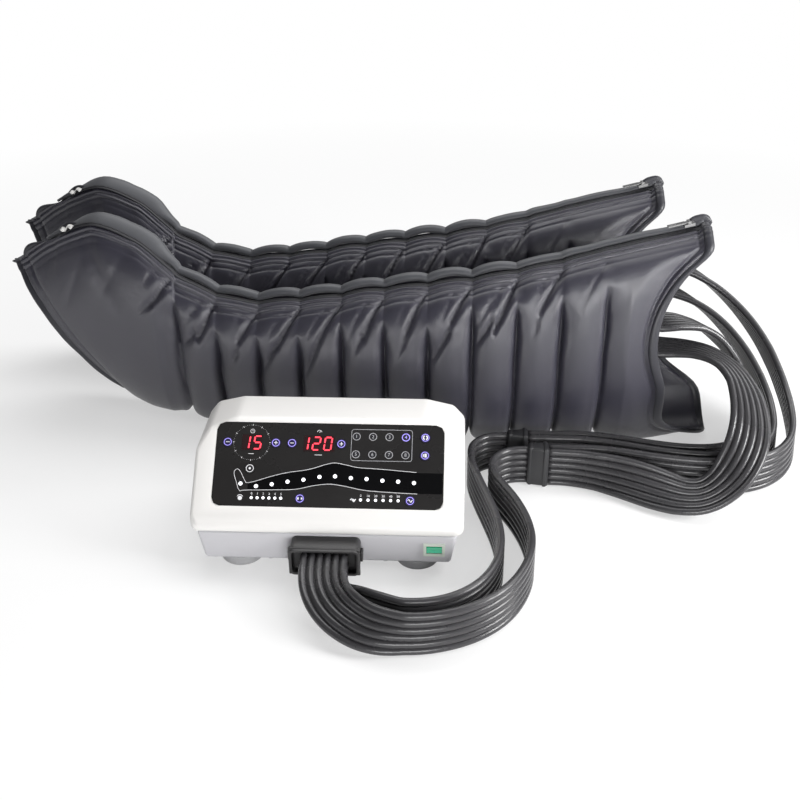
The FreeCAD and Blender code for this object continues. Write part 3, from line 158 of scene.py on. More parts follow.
class ConsoleSettings(bpy.types.PropertyGroup):
    cover_colour: FloatVectorProperty(name="Cover", description="Colour of the top cover", subtype="COLOR",
                                      default=(0.86, 0.845, 0.825), min=0, max=1)
    base_colour: FloatVectorProperty(name="Base", description="Colour of the base tray", subtype="COLOR",
                                     default=(0.56, 0.555, 0.58), min=0, max=1)
    edge_round: FloatProperty(name="Edge rounding", description="Radius of the cover's outer edges",
                              unit="LENGTH", default=5.0 * MM, min=0)
    panel_colour: FloatVectorProperty(name="Panel", description="Colour of the key panel", subtype="COLOR",
                                      default=(0.019, 0.018, 0.018), min=0, max=1)
    digit_colour: FloatVectorProperty(name="Digits", description="Light of the displays", subtype="COLOR",
                                      default=(1.0, 0.055, 0.085), min=0, max=1)
    time_text: StringProperty(name="Time", description="Digits of the left display", default="15")
    pressure_text: StringProperty(name="Pressure", description="Digits of the right display", default="120")


class SleeveSettings(bpy.types.PropertyGroup):
    fabric_colour: FloatVectorProperty(name="Fabric", description="Colour of the sleeves", subtype="COLOR",
                                       default=(0.030, 0.0285, 0.043), min=0, max=1)
    puff: FloatProperty(name="Puff", description="How far a chamber swells between its seams",
                        unit="LENGTH", default=13.0 * MM, min=0)
    crease_depth: FloatProperty(name="Crease depth", description="Depth of a seam's crease",
                                unit="LENGTH", default=9.5 * MM, min=0)
    columns: IntProperty(name="Columns", description="Faces around a sleeve", default=220, min=24)
    rows: IntProperty(name="Rows", description="Faces along one chamber", default=26, min=8)


class HoseSettings(bpy.types.PropertyGroup):
    rubber_colour: FloatVectorProperty(name="Rubber", description="Colour of the hoses", subtype="COLOR",
                                       default=(0.040, 0.039, 0.042), min=0, max=1)
    groove_share: FloatProperty(name="Groove", description="Depth of the grooves between tubes",
                                subtype="FACTOR", default=0.86, min=0, max=1)


# ---------------------------------------------------------------- small helpers

def console_point(x, y, z):
    """A point in the console's frame, in millimetres, as a place in metres."""
    return CONSOLE + Vector((x, y, z)) * MM


def mix(first, second, share):
    return first + (second - first) * share


def between(before, start, end, after, share):
    """A place between start and end, on the smooth line through all four."""
    bend = 2 * before - 5 * start + 4 * end - after
    twist = 3 * start - before - 3 * end + after
    return 0.5 * (2 * start + (end - before) * share + bend * share ** 2 + twist * share ** 3)


def smooth(value):
    value = min(1.0, max(0.0, value))
    return value * value * (3 - 2 * value)


def ramp(value, start, end):
    """0 before start, 1 after end, and a soft step between them."""
    return smooth((value - start) / (end - start))


def arc(middle, radius, start, end, steps):
    """Points on part of a circle, between two angles in degrees."""
    points = []
    for step in range(steps + 1):
        turn = math.radians(mix(start, end, step / steps))
        points.append((middle[0] + radius * math.cos(turn), middle[1] + radius * math.sin(turn)))
    return points


def deselect():
    if bpy.context.object and bpy.context.object.mode != "OBJECT":
        bpy.ops.object.mode_set(mode="OBJECT")
    bpy.ops.object.select_all(action="DESELECT")


def activate(*objects):
    deselect()
    for item in objects:
        item.select_set(True)
    bpy.context.view_layer.objects.active = objects[0]
    return objects[0]


def settle(item, name):
    """Names a new object and puts its place into its mesh."""
    activate(item)
    bpy.ops.object.transform_apply(location=True, rotation=True, scale=True)
    item.name = name
    item.data.name = name
    return item


def from_mesh(name, vertices, faces, smooth_faces=True):
    data = bpy.data.meshes.new(name)
    data.from_pydata([tuple(vertex) for vertex in vertices], [], faces)
    data.update()
    item = bpy.data.objects.new(name, data)
    bpy.context.scene.collection.objects.link(item)
    if smooth_faces:
        data.polygons.foreach_set("use_smooth", [True] * len(data.polygons))
    return item


def join(name, pieces):
    activate(*pieces)
    if len(pieces) > 1:
        bpy.ops.object.join()
    return settle(bpy.context.object, name)


def finish_piece(item, material, body="root", replaced=()):
    item.data.materials.clear()
    item.data.materials.append(material)
    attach(item, body)
    if replaced:
        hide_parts(*replaced)
    return item


def block(name, low, high):
    deselect()
    bpy.ops.mesh.primitive_cube_add(size=1, location=(Vector(low) + Vector(high)) / 2)
    item = bpy.context.object
    item.scale = Vector(high) - Vector(low)
    return settle(item, name)


def face_outwards(item):
    """Turns a closed piece's faces so that they all point out of it."""
    activate(item)
    bpy.ops.object.mode_set(mode="EDIT")
    bpy.ops.mesh.select_all(action="SELECT")
    bpy.ops.mesh.normals_make_consistent(inside=False)
    bpy.ops.object.mode_set(mode="OBJECT")
    return item


def trim(item, cuts):
    """Cuts a convex block with planes, each a point on it and its outward normal."""
    activate(item)
    bpy.ops.object.mode_set(mode="EDIT")
    for point, normal in cuts:
        bpy.ops.mesh.select_all(action="SELECT")
        bpy.ops.mesh.bisect(plane_co=point, plane_no=normal, use_fill=True, clear_outer=True)
    bpy.ops.object.mode_set(mode="OBJECT")
    return face_outwards(item)


def bevel_picked(item, picked, width, segments):
    """Rounds the edges of which picked(), given their two ends, says yes."""
    activate(item)
    bpy.ops.object.mode_set(mode="EDIT")
    bpy.ops.mesh.select_all(action="DESELECT")
    bpy.ops.object.mode_set(mode="OBJECT")
    for edge in item.data.edges:
        edge.select = picked(*(item.data.vertices[index].co for index in edge.vertices))
    bpy.ops.object.mode_set(mode="EDIT")
    bpy.ops.mesh.select_mode(type="EDGE")
    bpy.ops.mesh.bevel(offset=width, segments=segments, affect="EDGES")
    bpy.ops.object.mode_set(mode="OBJECT")


def apply_modifier(item, kind, **values):
    activate(item)
    modifier = item.modifiers.new(kind.title(), kind)
    for key, value in values.items():
        setattr(modifier, key, value)
    bpy.ops.object.modifier_apply(modifier=modifier.name)
    return item


def round_edges(item, width, segments=3, angle=20):
    return apply_modifier(item, "BEVEL", width=width, segments=segments, limit_method="ANGLE",
                          angle_limit=math.radians(angle), harden_normals=False)


def subtract(item, *tools):
    for tool in tools:
        apply_modifier(item, "BOOLEAN", object=tool, operation="DIFFERENCE", solver="EXACT")
        bpy.data.objects.remove(tool)
    return item


def shade(item, angle=30):
    activate(item)
    bpy.ops.object.shade_smooth_by_angle(angle=math.radians(angle))
    return item


def disc(name, centre, radius, depth, sides):
    """A round slug on the table's plane, whose middle is centre."""
    deselect()
    bpy.ops.mesh.primitive_cylinder_add(vertices=sides, radius=radius, depth=depth, location=centre)
    return settle(bpy.context.object, name)


def ring_faces(here, there, columns):
    """Quads between two rings of points, which start at these two numbers."""
    return [(here + column, here + (column + 1) % columns, there + (column + 1) % columns, there + column)
            for column in range(columns)]


def grid_faces(rows, columns):
    """Quads between rings of points laid one after another."""
    faces = []
    for row in range(rows - 1):
        faces += ring_faces(row * columns, (row + 1) * columns, columns)
    return faces


def sweep(name, path, section, closed=False):
    """A skin along path: section(index, share) gives a ring of (across, lift) pairs and the
    two unit vectors they are measured along."""
    count = len(path)
    vertices = []
    for index, place in enumerate(path):
        ring, across, lift = section(index, index / (count - 1))
        vertices += [place + across * u + lift * v for u, v in ring]
    columns = len(vertices) // count
    last = (count - 1) * columns
    faces = grid_faces(count, columns)
    if closed:
        faces += ring_faces(last, 0, columns)
    else:
        faces += [tuple(range(columns))[::-1], tuple(range(last, last + columns))]
    return face_outwards(from_mesh(name, vertices, faces))


def circle(radius, sides):
    turns = [2 * math.pi * side / sides for side in range(sides)]
    return [(radius * math.cos(turn), radius * math.sin(turn)) for turn in turns]


def upward(direction):
    """The same line, pointing up."""
    return direction if direction.z > 0 else -direction


def tangents(path, closed=False):
    """Unit directions along a path."""
    count = len(path)
    result = []
    for index in range(count):
        if closed:
            before, after = path[index - 1], path[(index + 1) % count]
        else:
            before, after = path[max(0, index - 1)], path[min(count - 1, index + 1)]
        result.append((after - before).normalized())
    return result


def across_and_lift(head, up=UP):
    """The two unit vectors square to a path's direction, the first one level with the table."""
    across = head.cross(up).normalized()
    return across, across.cross(head).normalized()


# ---------------------------------------------------------------- materials

def add(tree, kind, **values):
    node = tree.nodes.new(kind)
    for key, value in values.items():
        setattr(node, key, value)
    return node


def maths(tree, operation, first, second, clamp=False):
    node = add(tree, "ShaderNodeMath", operation=operation, use_clamp=clamp)
    for index, value in enumerate((first, second)):
        if isinstance(value, (int, float)):
            node.inputs[index].default_value = value
        else:
            tree.links.new(value, node.inputs[index])
    return node.outputs[0]


def noise_texture(tree, vector, scale, detail, roughness=0.55):
    node = add(tree, "ShaderNodeTexNoise")
    tree.links.new(vector, node.inputs["Vector"])
    if isinstance(scale, (int, float)):
        node.inputs["Scale"].default_value = scale
    else:
        tree.links.new(scale, node.inputs["Scale"])
    node.inputs["Detail"].default_value = detail
    node.inputs["Roughness"].default_value = roughness
    return node.outputs["Fac"]


def new_pattern(name, *inputs):
    """A node group that turns a finish's own values into colour, roughness and height."""
    tree = bpy.data.node_groups.new(name, "ShaderNodeTree")
    for label, value in inputs:
        kind = "NodeSocketColor" if label == "Colour" else "NodeSocketFloat"
        tree.interface.new_socket(name=label, in_out="INPUT", socket_type=kind).default_value = value
    for label, kind in (("Colour", "NodeSocketColor"), ("Roughness", "NodeSocketFloat"),
                        ("Height", "NodeSocketFloat")):
        tree.interface.new_socket(name=label, in_out="OUTPUT", socket_type=kind)
    return tree, tree.nodes.new("NodeGroupInput"), tree.nodes.new("NodeGroupOutput")


def put_out(tree, entry, leave, tone, gloss_share, height):
    """Joins up a pattern's outputs: the tone, 0.5 on average, moves its colour and roughness."""
    shift = maths(tree, "MULTIPLY", maths(tree, "SUBTRACT", tone, 0.5), entry.outputs["Variation"])
    tint = add(tree, "ShaderNodeHueSaturation")
    tree.links.new(entry.outputs["Colour"], tint.inputs["Color"])
    tree.links.new(maths(tree, "ADD", 1.0, shift), tint.inputs["Value"])
    tree.links.new(tint.outputs["Color"], leave.inputs["Colour"])
    rough = maths(tree, "ADD", entry.outputs["Roughness"], maths(tree, "MULTIPLY", shift, gloss_share))
    tree.links.new(rough, leave.inputs["Roughness"])
    tree.links.new(height, leave.inputs["Height"])


def make_moulding_pattern():
    """Fine spark texture of moulded plastic, with a little uneven gloss and dulling."""
    tree, entry, leave = new_pattern("moulded_grain", ("Colour", (0.8, 0.8, 0.8, 1)), ("Grain Scale", 900.0),
                                     ("Roughness", 0.4), ("Variation", 0.06))
    where = add(tree, "ShaderNodeTexCoord").outputs["Object"]
    fine = noise_texture(tree, where, entry.outputs["Grain Scale"], 2.0, 0.5)
    put_out(tree, entry, leave, noise_texture(tree, where, 14.0, 5.0), 2.0, fine)


def make_weave_pattern():
    """Plain weave on the piece's own UV map, with slow changes of tone where cloth is handled."""
    tree, entry, leave = new_pattern("cloth_weave", ("Colour", (0.1, 0.1, 0.1, 1)), ("Threads", 1400.0),
                                     ("Roughness", 0.45), ("Variation", 0.2))
    where = add(tree, "ShaderNodeTexCoord")
    waves = []
    for direction in ("X", "Y"):
        wave = add(tree, "ShaderNodeTexWave", wave_type="BANDS", bands_direction=direction)
        tree.links.new(where.outputs["UV"], wave.inputs["Vector"])
        tree.links.new(entry.outputs["Threads"], wave.inputs["Scale"])
        waves.append(wave.outputs["Fac"])
    woven = maths(tree, "MULTIPLY", *waves)
    broad = noise_texture(tree, where.outputs["Object"], 9.0, 6.0, 0.6)
    fine = noise_texture(tree, where.outputs["Object"], 160.0, 3.0, 0.6)
    tone = maths(tree, "ADD", maths(tree, "MULTIPLY", broad, 0.7), maths(tree, "MULTIPLY", fine, 0.3))
    put_out(tree, entry, leave, tone, 0.4, maths(tree, "ADD", woven, maths(tree, "MULTIPLY", fine, 0.6)))


def finish(name, colour, roughness, pattern="moulded_grain", scale=900.0, variation=0.06, bump=0.0002,
           glow=0.0, **sockets):
    """A material: a pattern drives the shader's colour, roughness and relief."""
    material = bpy.data.materials.new(name)
    material.use_nodes = True
    tree = material.node_tree
    shader = tree.nodes["Principled BSDF"]
    group = add(tree, "ShaderNodeGroup", node_tree=bpy.data.node_groups[pattern])
    for place, value in zip(group.inputs, ((*colour, 1), scale, roughness, variation)):
        place.default_value = value
    raised = add(tree, "ShaderNodeBump")
    raised.inputs["Distance"].default_value = bump
    raised.inputs["Strength"].default_value = 0.6
    tree.links.new(group.outputs["Colour"], shader.inputs["Base Color"])
    tree.links.new(group.outputs["Roughness"], shader.inputs["Roughness"])
    tree.links.new(group.outputs["Height"], raised.inputs["Height"])
    tree.links.new(raised.outputs["Normal"], shader.inputs["Normal"])
    for label, value in sockets.items():
        shader.inputs[label.replace("_", " ")].default_value = value
    if glow:
        shader.inputs["Emission Color"].default_value = (*colour, 1)
        shader.inputs["Emission Strength"].default_value = glow
    material.diffuse_color = (*colour, 1)
    return material


GLOSS = dict(bump=0.00002, Specular_IOR_Level=0.30, Coat_Weight=0.06, Coat_Roughness=0.1)
KEY = dict(roughness=0.32, variation=0.1, bump=0.00004, Specular_IOR_Level=0.25)
PRINT = dict(roughness=0.35, variation=0.04)
METAL = dict(scale=300, Metallic=1.0)
CLOTH = dict(pattern="cloth_weave", scale=1400)
WEBBING = dict(pattern="cloth_weave", scale=900, bump=0.0003)

# The finishes, apart from the colours that a setting gives.
FINISHES = {
    "cover_plastic": dict(roughness=0.33, variation=0.03),
    "base_plastic": dict(roughness=0.5, variation=0.04),
    "foot_rubber": dict(colour=(0.42, 0.42, 0.43), roughness=0.62, scale=500),
    "panel_gloss": dict(roughness=0.30, variation=0.25, **GLOSS),
    "panel_field": dict(colour=(0.003, 0.003, 0.0035), roughness=0.28, variation=0.1, bump=0.00002,
                        Specular_IOR_Level=0.16),
    "display_filter": dict(colour=(0.024, 0.011, 0.012), roughness=0.3, variation=0.1, **GLOSS),
    "key_cap": dict(colour=(0.014, 0.013, 0.015), **KEY),
    "key_lit": dict(colour=(0.024, 0.020, 0.070), **KEY),
    "mode_lens": dict(colour=(0.03, 0.03, 0.034), roughness=0.25, variation=0.1),
    # The white and grey prints glow a little: painted light on printed marks, which give no light of their
    # own.
    "white_print_painted_glow": dict(colour=(0.72, 0.72, 0.74), glow=0.2, **PRINT),
    "grey_print_painted_glow": dict(colour=(0.38, 0.38, 0.40), glow=0.08, **PRINT),
    "violet_print": dict(colour=(0.33, 0.28, 0.80), glow=0.55, **PRINT),
    "white_lamp": dict(colour=(0.95, 0.95, 1.0), glow=0.9, **PRINT),
    "red_digit": dict(glow=1.5, **PRINT),
    "plug_plastic": dict(colour=(0.030, 0.029, 0.030), roughness=0.42, scale=700, bump=0.0003),
    "socket_plastic": dict(colour=(0.03, 0.03, 0.032), roughness=0.5),
    "rocker_plastic": dict(colour=(0.05, 0.56, 0.31), roughness=0.2, variation=0.25,
                           Subsurface_Weight=0.2, Coat_Weight=0.5),
    "bezel_plastic": dict(colour=(0.62, 0.68, 0.60), roughness=0.3),
    "inlet_plastic": dict(colour=(0.02, 0.02, 0.02), roughness=0.45),
    "pale_plastic": dict(colour=(0.74, 0.73, 0.69), roughness=0.45),
    "soft_black": dict(colour=(0.02, 0.02, 0.02), roughness=0.6),
    "clear_tube": dict(colour=(0.72, 0.72, 0.70), roughness=0.3, Transmission_Weight=0.3),
    "board": dict(colour=(0.03, 0.20, 0.09), roughness=0.4),
    "hose_rubber": dict(roughness=0.27, scale=420, variation=0.12, bump=0.0003),
    "splitter_rubber": dict(colour=(0.024, 0.024, 0.026), roughness=0.4, scale=420),
    "sleeve_fabric": dict(roughness=0.34, variation=0.22, bump=0.00012, Specular_IOR_Level=0.85,
                          Sheen_Weight=0.05, Sheen_Roughness=0.4, **CLOTH),
    "lining_fabric": dict(colour=(0.040, 0.040, 0.046), roughness=0.55, variation=0.2, bump=0.00015, **CLOTH),
    "welt_fabric": dict(colour=(0.026, 0.026, 0.033), roughness=0.42, variation=0.2, Sheen_Weight=0.06,
                        **CLOTH),
    # The ridge roll is the sleeve's own cloth made lighter: a painted highlight along the roll.
    "ridge_fabric_painted_highlight": dict(colour=(0.060, 0.062, 0.070), roughness=0.5, variation=0.25, Sheen_Weight=0.2,
                         **CLOTH),
    "zip_fabric": dict(colour=(0.022, 0.022, 0.026), roughness=0.6, variation=0.2, **WEBBING),
    "tab_fabric": dict(colour=(0.75, 0.74, 0.72), roughness=0.7, variation=0.15, **WEBBING),
    "zip_metal": dict(colour=(0.40, 0.40, 0.40), roughness=0.34, **METAL),
    "metal": dict(colour=(0.55, 0.55, 0.56), roughness=0.32, **METAL),
    "brass": dict(colour=(0.70, 0.56, 0.30), roughness=0.3, **METAL),
}
SET_COLOURS = {
    "cover_plastic": ("pump_console", "cover_colour"), "base_plastic": ("pump_console", "base_colour"),
    "panel_gloss": ("pump_console", "panel_colour"), "red_digit": ("pump_console", "digit_colour"),
    "hose_rubber": ("pump_hose", "rubber_colour"), "sleeve_fabric": ("pump_sleeve", "fabric_colour"),
}
MATERIALS = {}

# Which of the frame's solids has which finish.
NODE_FINISHES = {
    "cover_plastic": ("top_cover",), "base_plastic": ("base_tray",), "foot_rubber": ("rubber_feet",),
    "panel_gloss": ("panel_overlay",), "mode_lens": ("mode_lamps", "chamber_lamps"),
    "white_lamp": ("scale_lamps",), "display_filter": ("time_display", "pressure_display"),
    "board": ("display_board", "main_board"), "key_cap": ("single_chamber_key",),
    "key_lit": ("time_minus_key", "time_plus_key", "pressure_minus_key", "pressure_plus_key",
                "mode_key", "start_key", "hold_key", "interval_key"),
    "soft_black": ("key_switches", "pump_mounts", "near_port_block", "far_port_block"),
    "socket_plastic": ("hose_socket",), "plug_plastic": ("hose_plug",),
    "bezel_plastic": ("power_switch_housing",), "rocker_plastic": ("power_rocker",),
    "inlet_plastic": ("mains_inlet", "fuse_drawer"),
    "brass": ("inlet_pins", "motor_pinion", "board_standoffs"),
    "pale_plastic": ("valve_housing", "valve_rotor"), "clear_tube": ("outlet_tubes", "supply_tube"),
    "metal": ("case_screws", "valve_motor", "pump_housing", "pump_armature", "power_supply"),
    "splitter_rubber": ("hose_splitters",), "hose_rubber": tuple(HOSE_ROUTES),
    "zip_metal": ("near_zip_slider", "near_zip_pull", "far_zip_slider", "far_zip_pull"),
    "lining_fabric": ("near_sleeve", "far_sleeve", "near_air_chambers", "far_air_chambers"),
    "zip_fabric": ("near_zip_tape", "far_zip_tape"),
}


class PUMP_OT_materials(bpy.types.Operator):
    """Make the finishes and give each solid of the frame its own"""
    bl_idname = "pump.materials"
    bl_label = "Finishes"

    def execute(self, context):
        make_moulding_pattern()
        make_weave_pattern()
        for name, values in FINISHES.items():
            if name in SET_COLOURS:
                group, label = SET_COLOURS[name]
                values = dict(values, colour=getattr(getattr(context.scene, group), label))
            MATERIALS[name] = finish(name, **values)
        for label, names in NODE_FINISHES.items():
            for name in names:
                item = NODES[name]
                if not item.data.materials:
                    item.data.materials.append(None)
                for place in item.material_slots:
                    place.material = MATERIALS[label]
        return {"FINISHED"}


# ---------------------------------------------------------------- stage

CAMERA_PLACE = Vector((144.3, -1247.9, 759.1)) * MM
CAMERA_FORWARD = Vector((-0.04896586, 0.87214524, -0.48679053))
CAMERA_RIGHT = Vector((0.99864921, 0.05123134, -0.00866605))
CAMERA_UP = Vector((-0.01738088, 0.48655732, 0.87347575))
FOCAL_SHARE = 1101.19 / 800
FLOOR_DROP = 0.4 * MM
SHADOW_REACH = 1 / 0.62
SHADOW_DEPTH = 0.5

# The lamps: place, the point each is aimed at, width and share of the key light's power.
LAMPS = {
    "light_above": ((-0.1, 0.75, 1.8), (0, 0.05, 0), 1.4, 1.0),
    "light_right": ((1.40, -0.50, 0.55), (0.42, 0, 0.12), 0.6, 1.25),
    "light_front": ((0.40, -1.8, 0.42), (0.1, -0.2, 0.05), 0.8, 1.0),
}
SUN_SIDE = Vector((0.62, 0.34, 0.74))
SUN_SPREAD = math.radians(40)


def make_camera():
    data = bpy.data.cameras.new("camera")
    data.sensor_width = 36
    data.lens = data.sensor_width * FOCAL_SHARE
    camera = bpy.data.objects.new("camera", data)
    bpy.context.scene.collection.objects.link(camera)
    turn = Matrix((CAMERA_RIGHT, CAMERA_UP, -CAMERA_FORWARD)).transposed().to_4x4()
    camera.matrix_world = Matrix.Translation(CAMERA_PLACE) @ turn
    bpy.context.scene.camera = camera


def add_light(name, kind, strength, pointing):
    """A light that shines from the far end of pointing towards its start."""
    data = bpy.data.lights.new(name, kind)
    data.energy = strength
    lamp = bpy.data.objects.new(name, data)
    bpy.context.scene.collection.objects.link(lamp)
    lamp.rotation_euler = pointing.to_track_quat("Z", "Y").to_euler()
    return lamp


def make_floor(colour):
    deselect()
    bpy.ops.mesh.primitive_plane_add(size=12, location=(0, 0, -FLOOR_DROP))
    floor = bpy.context.object
    floor.name = "floor"
    material = bpy.data.materials.new("floor")
    material.use_nodes = True
    tree = material.node_tree
    shader = tree.nodes["Principled BSDF"]
    shader.inputs["Base Color"].default_value = (*colour, 1)
    shader.inputs["Roughness"].default_value = 0.7
    shader.inputs["Specular IOR Level"].default_value = 0.1
    lit = add(tree, "ShaderNodeEmission")
    path = add(tree, "ShaderNodeLightPath")
    both = maths(tree, "MAXIMUM", path.outputs["Is Camera Ray"], path.outputs["Is Glossy Ray"])
    # white far away, and open to shadows near the middle
    where = add(tree, "ShaderNodeTexCoord")
    away = add(tree, "ShaderNodeTexGradient", gradient_type="SPHERICAL")
    shrink = add(tree, "ShaderNodeMapping")
    shrink.inputs["Scale"].default_value = (1 / SHADOW_REACH, 1 / SHADOW_REACH, 1)
    tree.links.new(where.outputs["Object"], shrink.inputs["Vector"])
    tree.links.new(shrink.outputs[0], away.inputs[0])
    near = maths(tree, "MULTIPLY", away.outputs["Fac"], 1.45, clamp=True)
    level = maths(tree, "SUBTRACT", 1.0, maths(tree, "MULTIPLY", near, SHADOW_DEPTH))
    share = maths(tree, "MULTIPLY", both, level)
    mixed = add(tree, "ShaderNodeMixShader")
    tree.links.new(share, mixed.inputs[0])
    tree.links.new(shader.outputs[0], mixed.inputs[1])
    tree.links.new(lit.outputs[0], mixed.inputs[2])
    tree.links.new(mixed.outputs[0], tree.nodes["Material Output"].inputs[0])
    floor.data.materials.append(material)


def make_world(level):
    world = bpy.data.worlds.new("studio")
    bpy.context.scene.world = world
    world.use_nodes = True
    tree = world.node_tree
    back = tree.nodes["Background"]
    back.inputs["Strength"].default_value = level
    white = add(tree, "ShaderNodeBackground")
    white.inputs["Color"].default_value = (1, 1, 1, 1)
    path = add(tree, "ShaderNodeLightPath")
    mixed = add(tree, "ShaderNodeMixShader")
    tree.links.new(path.outputs["Is Camera Ray"], mixed.inputs[0])
    tree.links.new(back.outputs[0], mixed.inputs[1])
    tree.links.new(white.outputs[0], mixed.inputs[2])
    tree.links.new(mixed.outputs[0], tree.nodes["World Output"].inputs[0])
    slope = add(tree, "ShaderNodeTexGradient")
    ramp_node = add(tree, "ShaderNodeValToRGB")
    ramp_node.color_ramp.elements[0].color = (0.50, 0.51, 0.54, 1)
    ramp_node.color_ramp.elements[1].color = (1.0, 1.0, 1.0, 1)
    where = add(tree, "ShaderNodeTexCoord")
    turn = add(tree, "ShaderNodeMapping")
    turn.inputs["Rotation"].default_value = (0, math.pi / 2, 0)
    tree.links.new(where.outputs["Generated"], turn.inputs["Vector"])
    tree.links.new(turn.outputs[0], slope.inputs[0])
    tree.links.new(slope.outputs["Fac"], ramp_node.inputs[0])
    tree.links.new(ramp_node.outputs[0], back.inputs["Color"])


class PUMP_OT_stage(bpy.types.Operator):
    """Set up the camera, the floor and the studio lights"""
    bl_idname = "pump.stage"
    bl_label = "Stage"

    def execute(self, context):
        settings = context.scene.pump_stage
        context.scene.view_settings.view_transform = "Standard"
        make_camera()
        make_floor(settings.floor_colour)
        make_world(settings.sky_level)
        for name, (place, aim, width, share) in LAMPS.items():
            lamp = add_light(name, "AREA", settings.key_power * share, Vector(place) - Vector(aim))
            lamp.location = place
            lamp.data.shape = "RECTANGLE"
            lamp.data.size = width
            lamp.data.size_y = width * 0.7
        sun = add_light("light_sun", "SUN", settings.sun_level, SUN_SIDE)
        sun.data.angle = SUN_SPREAD
        return {"FINISHED"}


# ---------------------------------------------------------------- hoses

def route_line(route):
    """Points and rolls along the smooth line through a hose's route, in metres and degrees."""
    route = [(*place, *ON_EDGE)[:4] for place in route]
    curve = bpy.data.curves.new("route", "CURVE")
    curve.dimensions = "3D"
    spline = curve.splines.new("NURBS")
    spline.points.add(len(route) - 1)
    for point, (x, y, z, _) in zip(spline.points, route):
        point.co = (*console_point(x, y, z), 1)
    spline.order_u = 3
    spline.use_endpoint_u = True
    spline.resolution_u = 9
    holder = bpy.data.objects.new("route", curve)
    bpy.context.scene.collection.objects.link(holder)
    bpy.context.view_layer.update()
    line = bpy.data.meshes.new_from_object(holder)
    points = [vertex.co.copy() for vertex in line.vertices]
    bpy.data.objects.remove(holder)
    bpy.data.curves.remove(curve)
    bpy.data.meshes.remove(line)
    rolls = []
    for index in range(len(points)):
        along = index / (len(points) - 1) * (len(route) - 2) + 0.5
        first = int(along)
        rolls.append(mix(route[first][3], route[first + 1][3], along - first))
    return points, rolls


def ribbon_outline(groove_depth):
    """Half round tubes side by side, above and below, as one closed outline."""
    top = []
    steps = 10
    for tube in range(TUBES):
        middle = (TUBES / 2 - 0.5 - tube) * 2 * TUBE_RADIUS
        for step in range(steps):
            turn = math.pi * (step + 0.5) / steps
            height = max(math.sin(turn), 1 - groove_depth)
            top.append((middle + TUBE_RADIUS * math.cos(turn), TUBE_RADIUS * height))
    return top + [(-u, -v) for u, v in top]


def make_ribbon(name, groove_depth):
    points, rolls = route_line(HOSE_ROUTES[name])
    heads = tangents(points)
    ring = ribbon_outline(groove_depth)

    def section(index, share):
        across = UP.cross(heads[index]).normalized()
        lift = heads[index].cross(across)
        turn = math.radians(rolls[index])
        wide = across * math.cos(turn) + lift * math.sin(turn)
        thick = lift * math.cos(turn) - across * math.sin(turn)
        return ring, wide, thick

    return sweep(f"{name}_ribbon", points, section), points


class PUMP_OT_hoses(bpy.types.Operator):
    """Lay the six hose ribbons, each of six bonded tubes"""
    bl_idname = "pump.hoses"
    bl_label = "Hose ribbons"

    def execute(self, context):
        groove = context.scene.pump_hose.groove_share
        for name in HOSE_ROUTES:
            ribbon, points = make_ribbon(name, groove)
            ribbon.data.materials.append(MATERIALS["hose_rubber"])
            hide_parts(name)
            if name.startswith("plug"):
                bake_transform(ribbon)
            else:
                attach(ribbon, "root")
        return {"FINISHED"}


# ---------------------------------------------------------------- console case

# The console's sizes in millimetres: its panel slopes up from the front lip.
HALF_WIDTH = 150
DEPTH = 165
SEAM_LEVEL = 49
COVER_TOP = 142
BASE_HALF_WIDTH = 143
BASE_FLOOR = 12
BASE_FRONT, BASE_BACK = 4, 158
FOOT_PLACES = ((-99, 30), (-99, 130), (99, 30), (99, 130))
FOOT_RADIUS = 24
FOOT_HEIGHT = 12
GROOVE_LOW, GROOVE_HIGH, GROOVE_DEPTH = 7.0, 8.4, 1.1
VENTS = 8
VENT_PITCH = 12
PANEL_TILT = math.radians(42)
PANEL_RISE = 70
LIP_TOP = 59.5
PANEL_MIDDLE = (0, PANEL_RISE * math.cos(PANEL_TILT), LIP_TOP + PANEL_RISE * math.sin(PANEL_TILT))


def panel_point(across, up, out=0.0):
    """A place on the sloping panel, in millimetres from its middle, out of its surface."""
    x, y, z = PANEL_MIDDLE
    y += up * math.cos(PANEL_TILT) - out * math.sin(PANEL_TILT)
    z += up * math.sin(PANEL_TILT) + out * math.cos(PANEL_TILT)
    return console_point(x + across, y, z)


def prism(name, outline, low, high):
    """A flat closed shape between two rings of points, low and high, of the same outline."""
    count = len(outline)
    vertices = [panel_point(u, v, level) for level in (low, high) for u, v in outline]
    faces = [tuple(range(count))[::-1], tuple(range(count, 2 * count)), *ring_faces(0, count, count)]
    return from_mesh(name, vertices, faces, False)


def rounded_outline(low, high, corner, steps):
    """A rectangle with round corners, between its lowest and highest corner."""
    outline = []
    for cx, cy, start in ((high[0] - corner, high[1] - corner, 0), (low[0] + corner, high[1] - corner, 90),
                          (low[0] + corner, low[1] + corner, 180), (high[0] - corner, low[1] + corner, 270)):
        outline += arc((cx, cy), corner, start, start + 90, steps)
    return outline


def plate(name, width, height, corner, low, high):
    """A plate with rounded corners on the panel's plane."""
    half = (width / 2, height / 2)
    return prism(name, rounded_outline((-half[0], -half[1]), half, corner, 6), low, high)


def cover_cuts(inset):
    """Planes of the cover's slope, back, shoulders and corners, moved inwards."""
    cuts = [(console_point(0, 0, LIP_TOP), Vector((0, -math.sin(PANEL_TILT), math.cos(PANEL_TILT)))),
            (console_point(0, DEPTH, SEAM_LEVEL), Vector((0, 93, 20)).normalized())]
    for side in (-1, 1):
        corners = ((HALF_WIDTH, 116), (137, 133.5), (106, COVER_TOP))
        shoulder = [console_point(side * x, 0, z) for x, z in corners]
        for first, second in zip(shoulder, shoulder[1:]):
            edge = second - first
            cuts.append((first, upward(Vector((edge.z * side, 0, -edge.x * side)).normalized())))
        cuts.append((console_point(side * HALF_WIDTH, 7, 0), Vector((side, -1, 0)).normalized()))
    return [(point - normal * inset, normal) for point, normal in cuts]


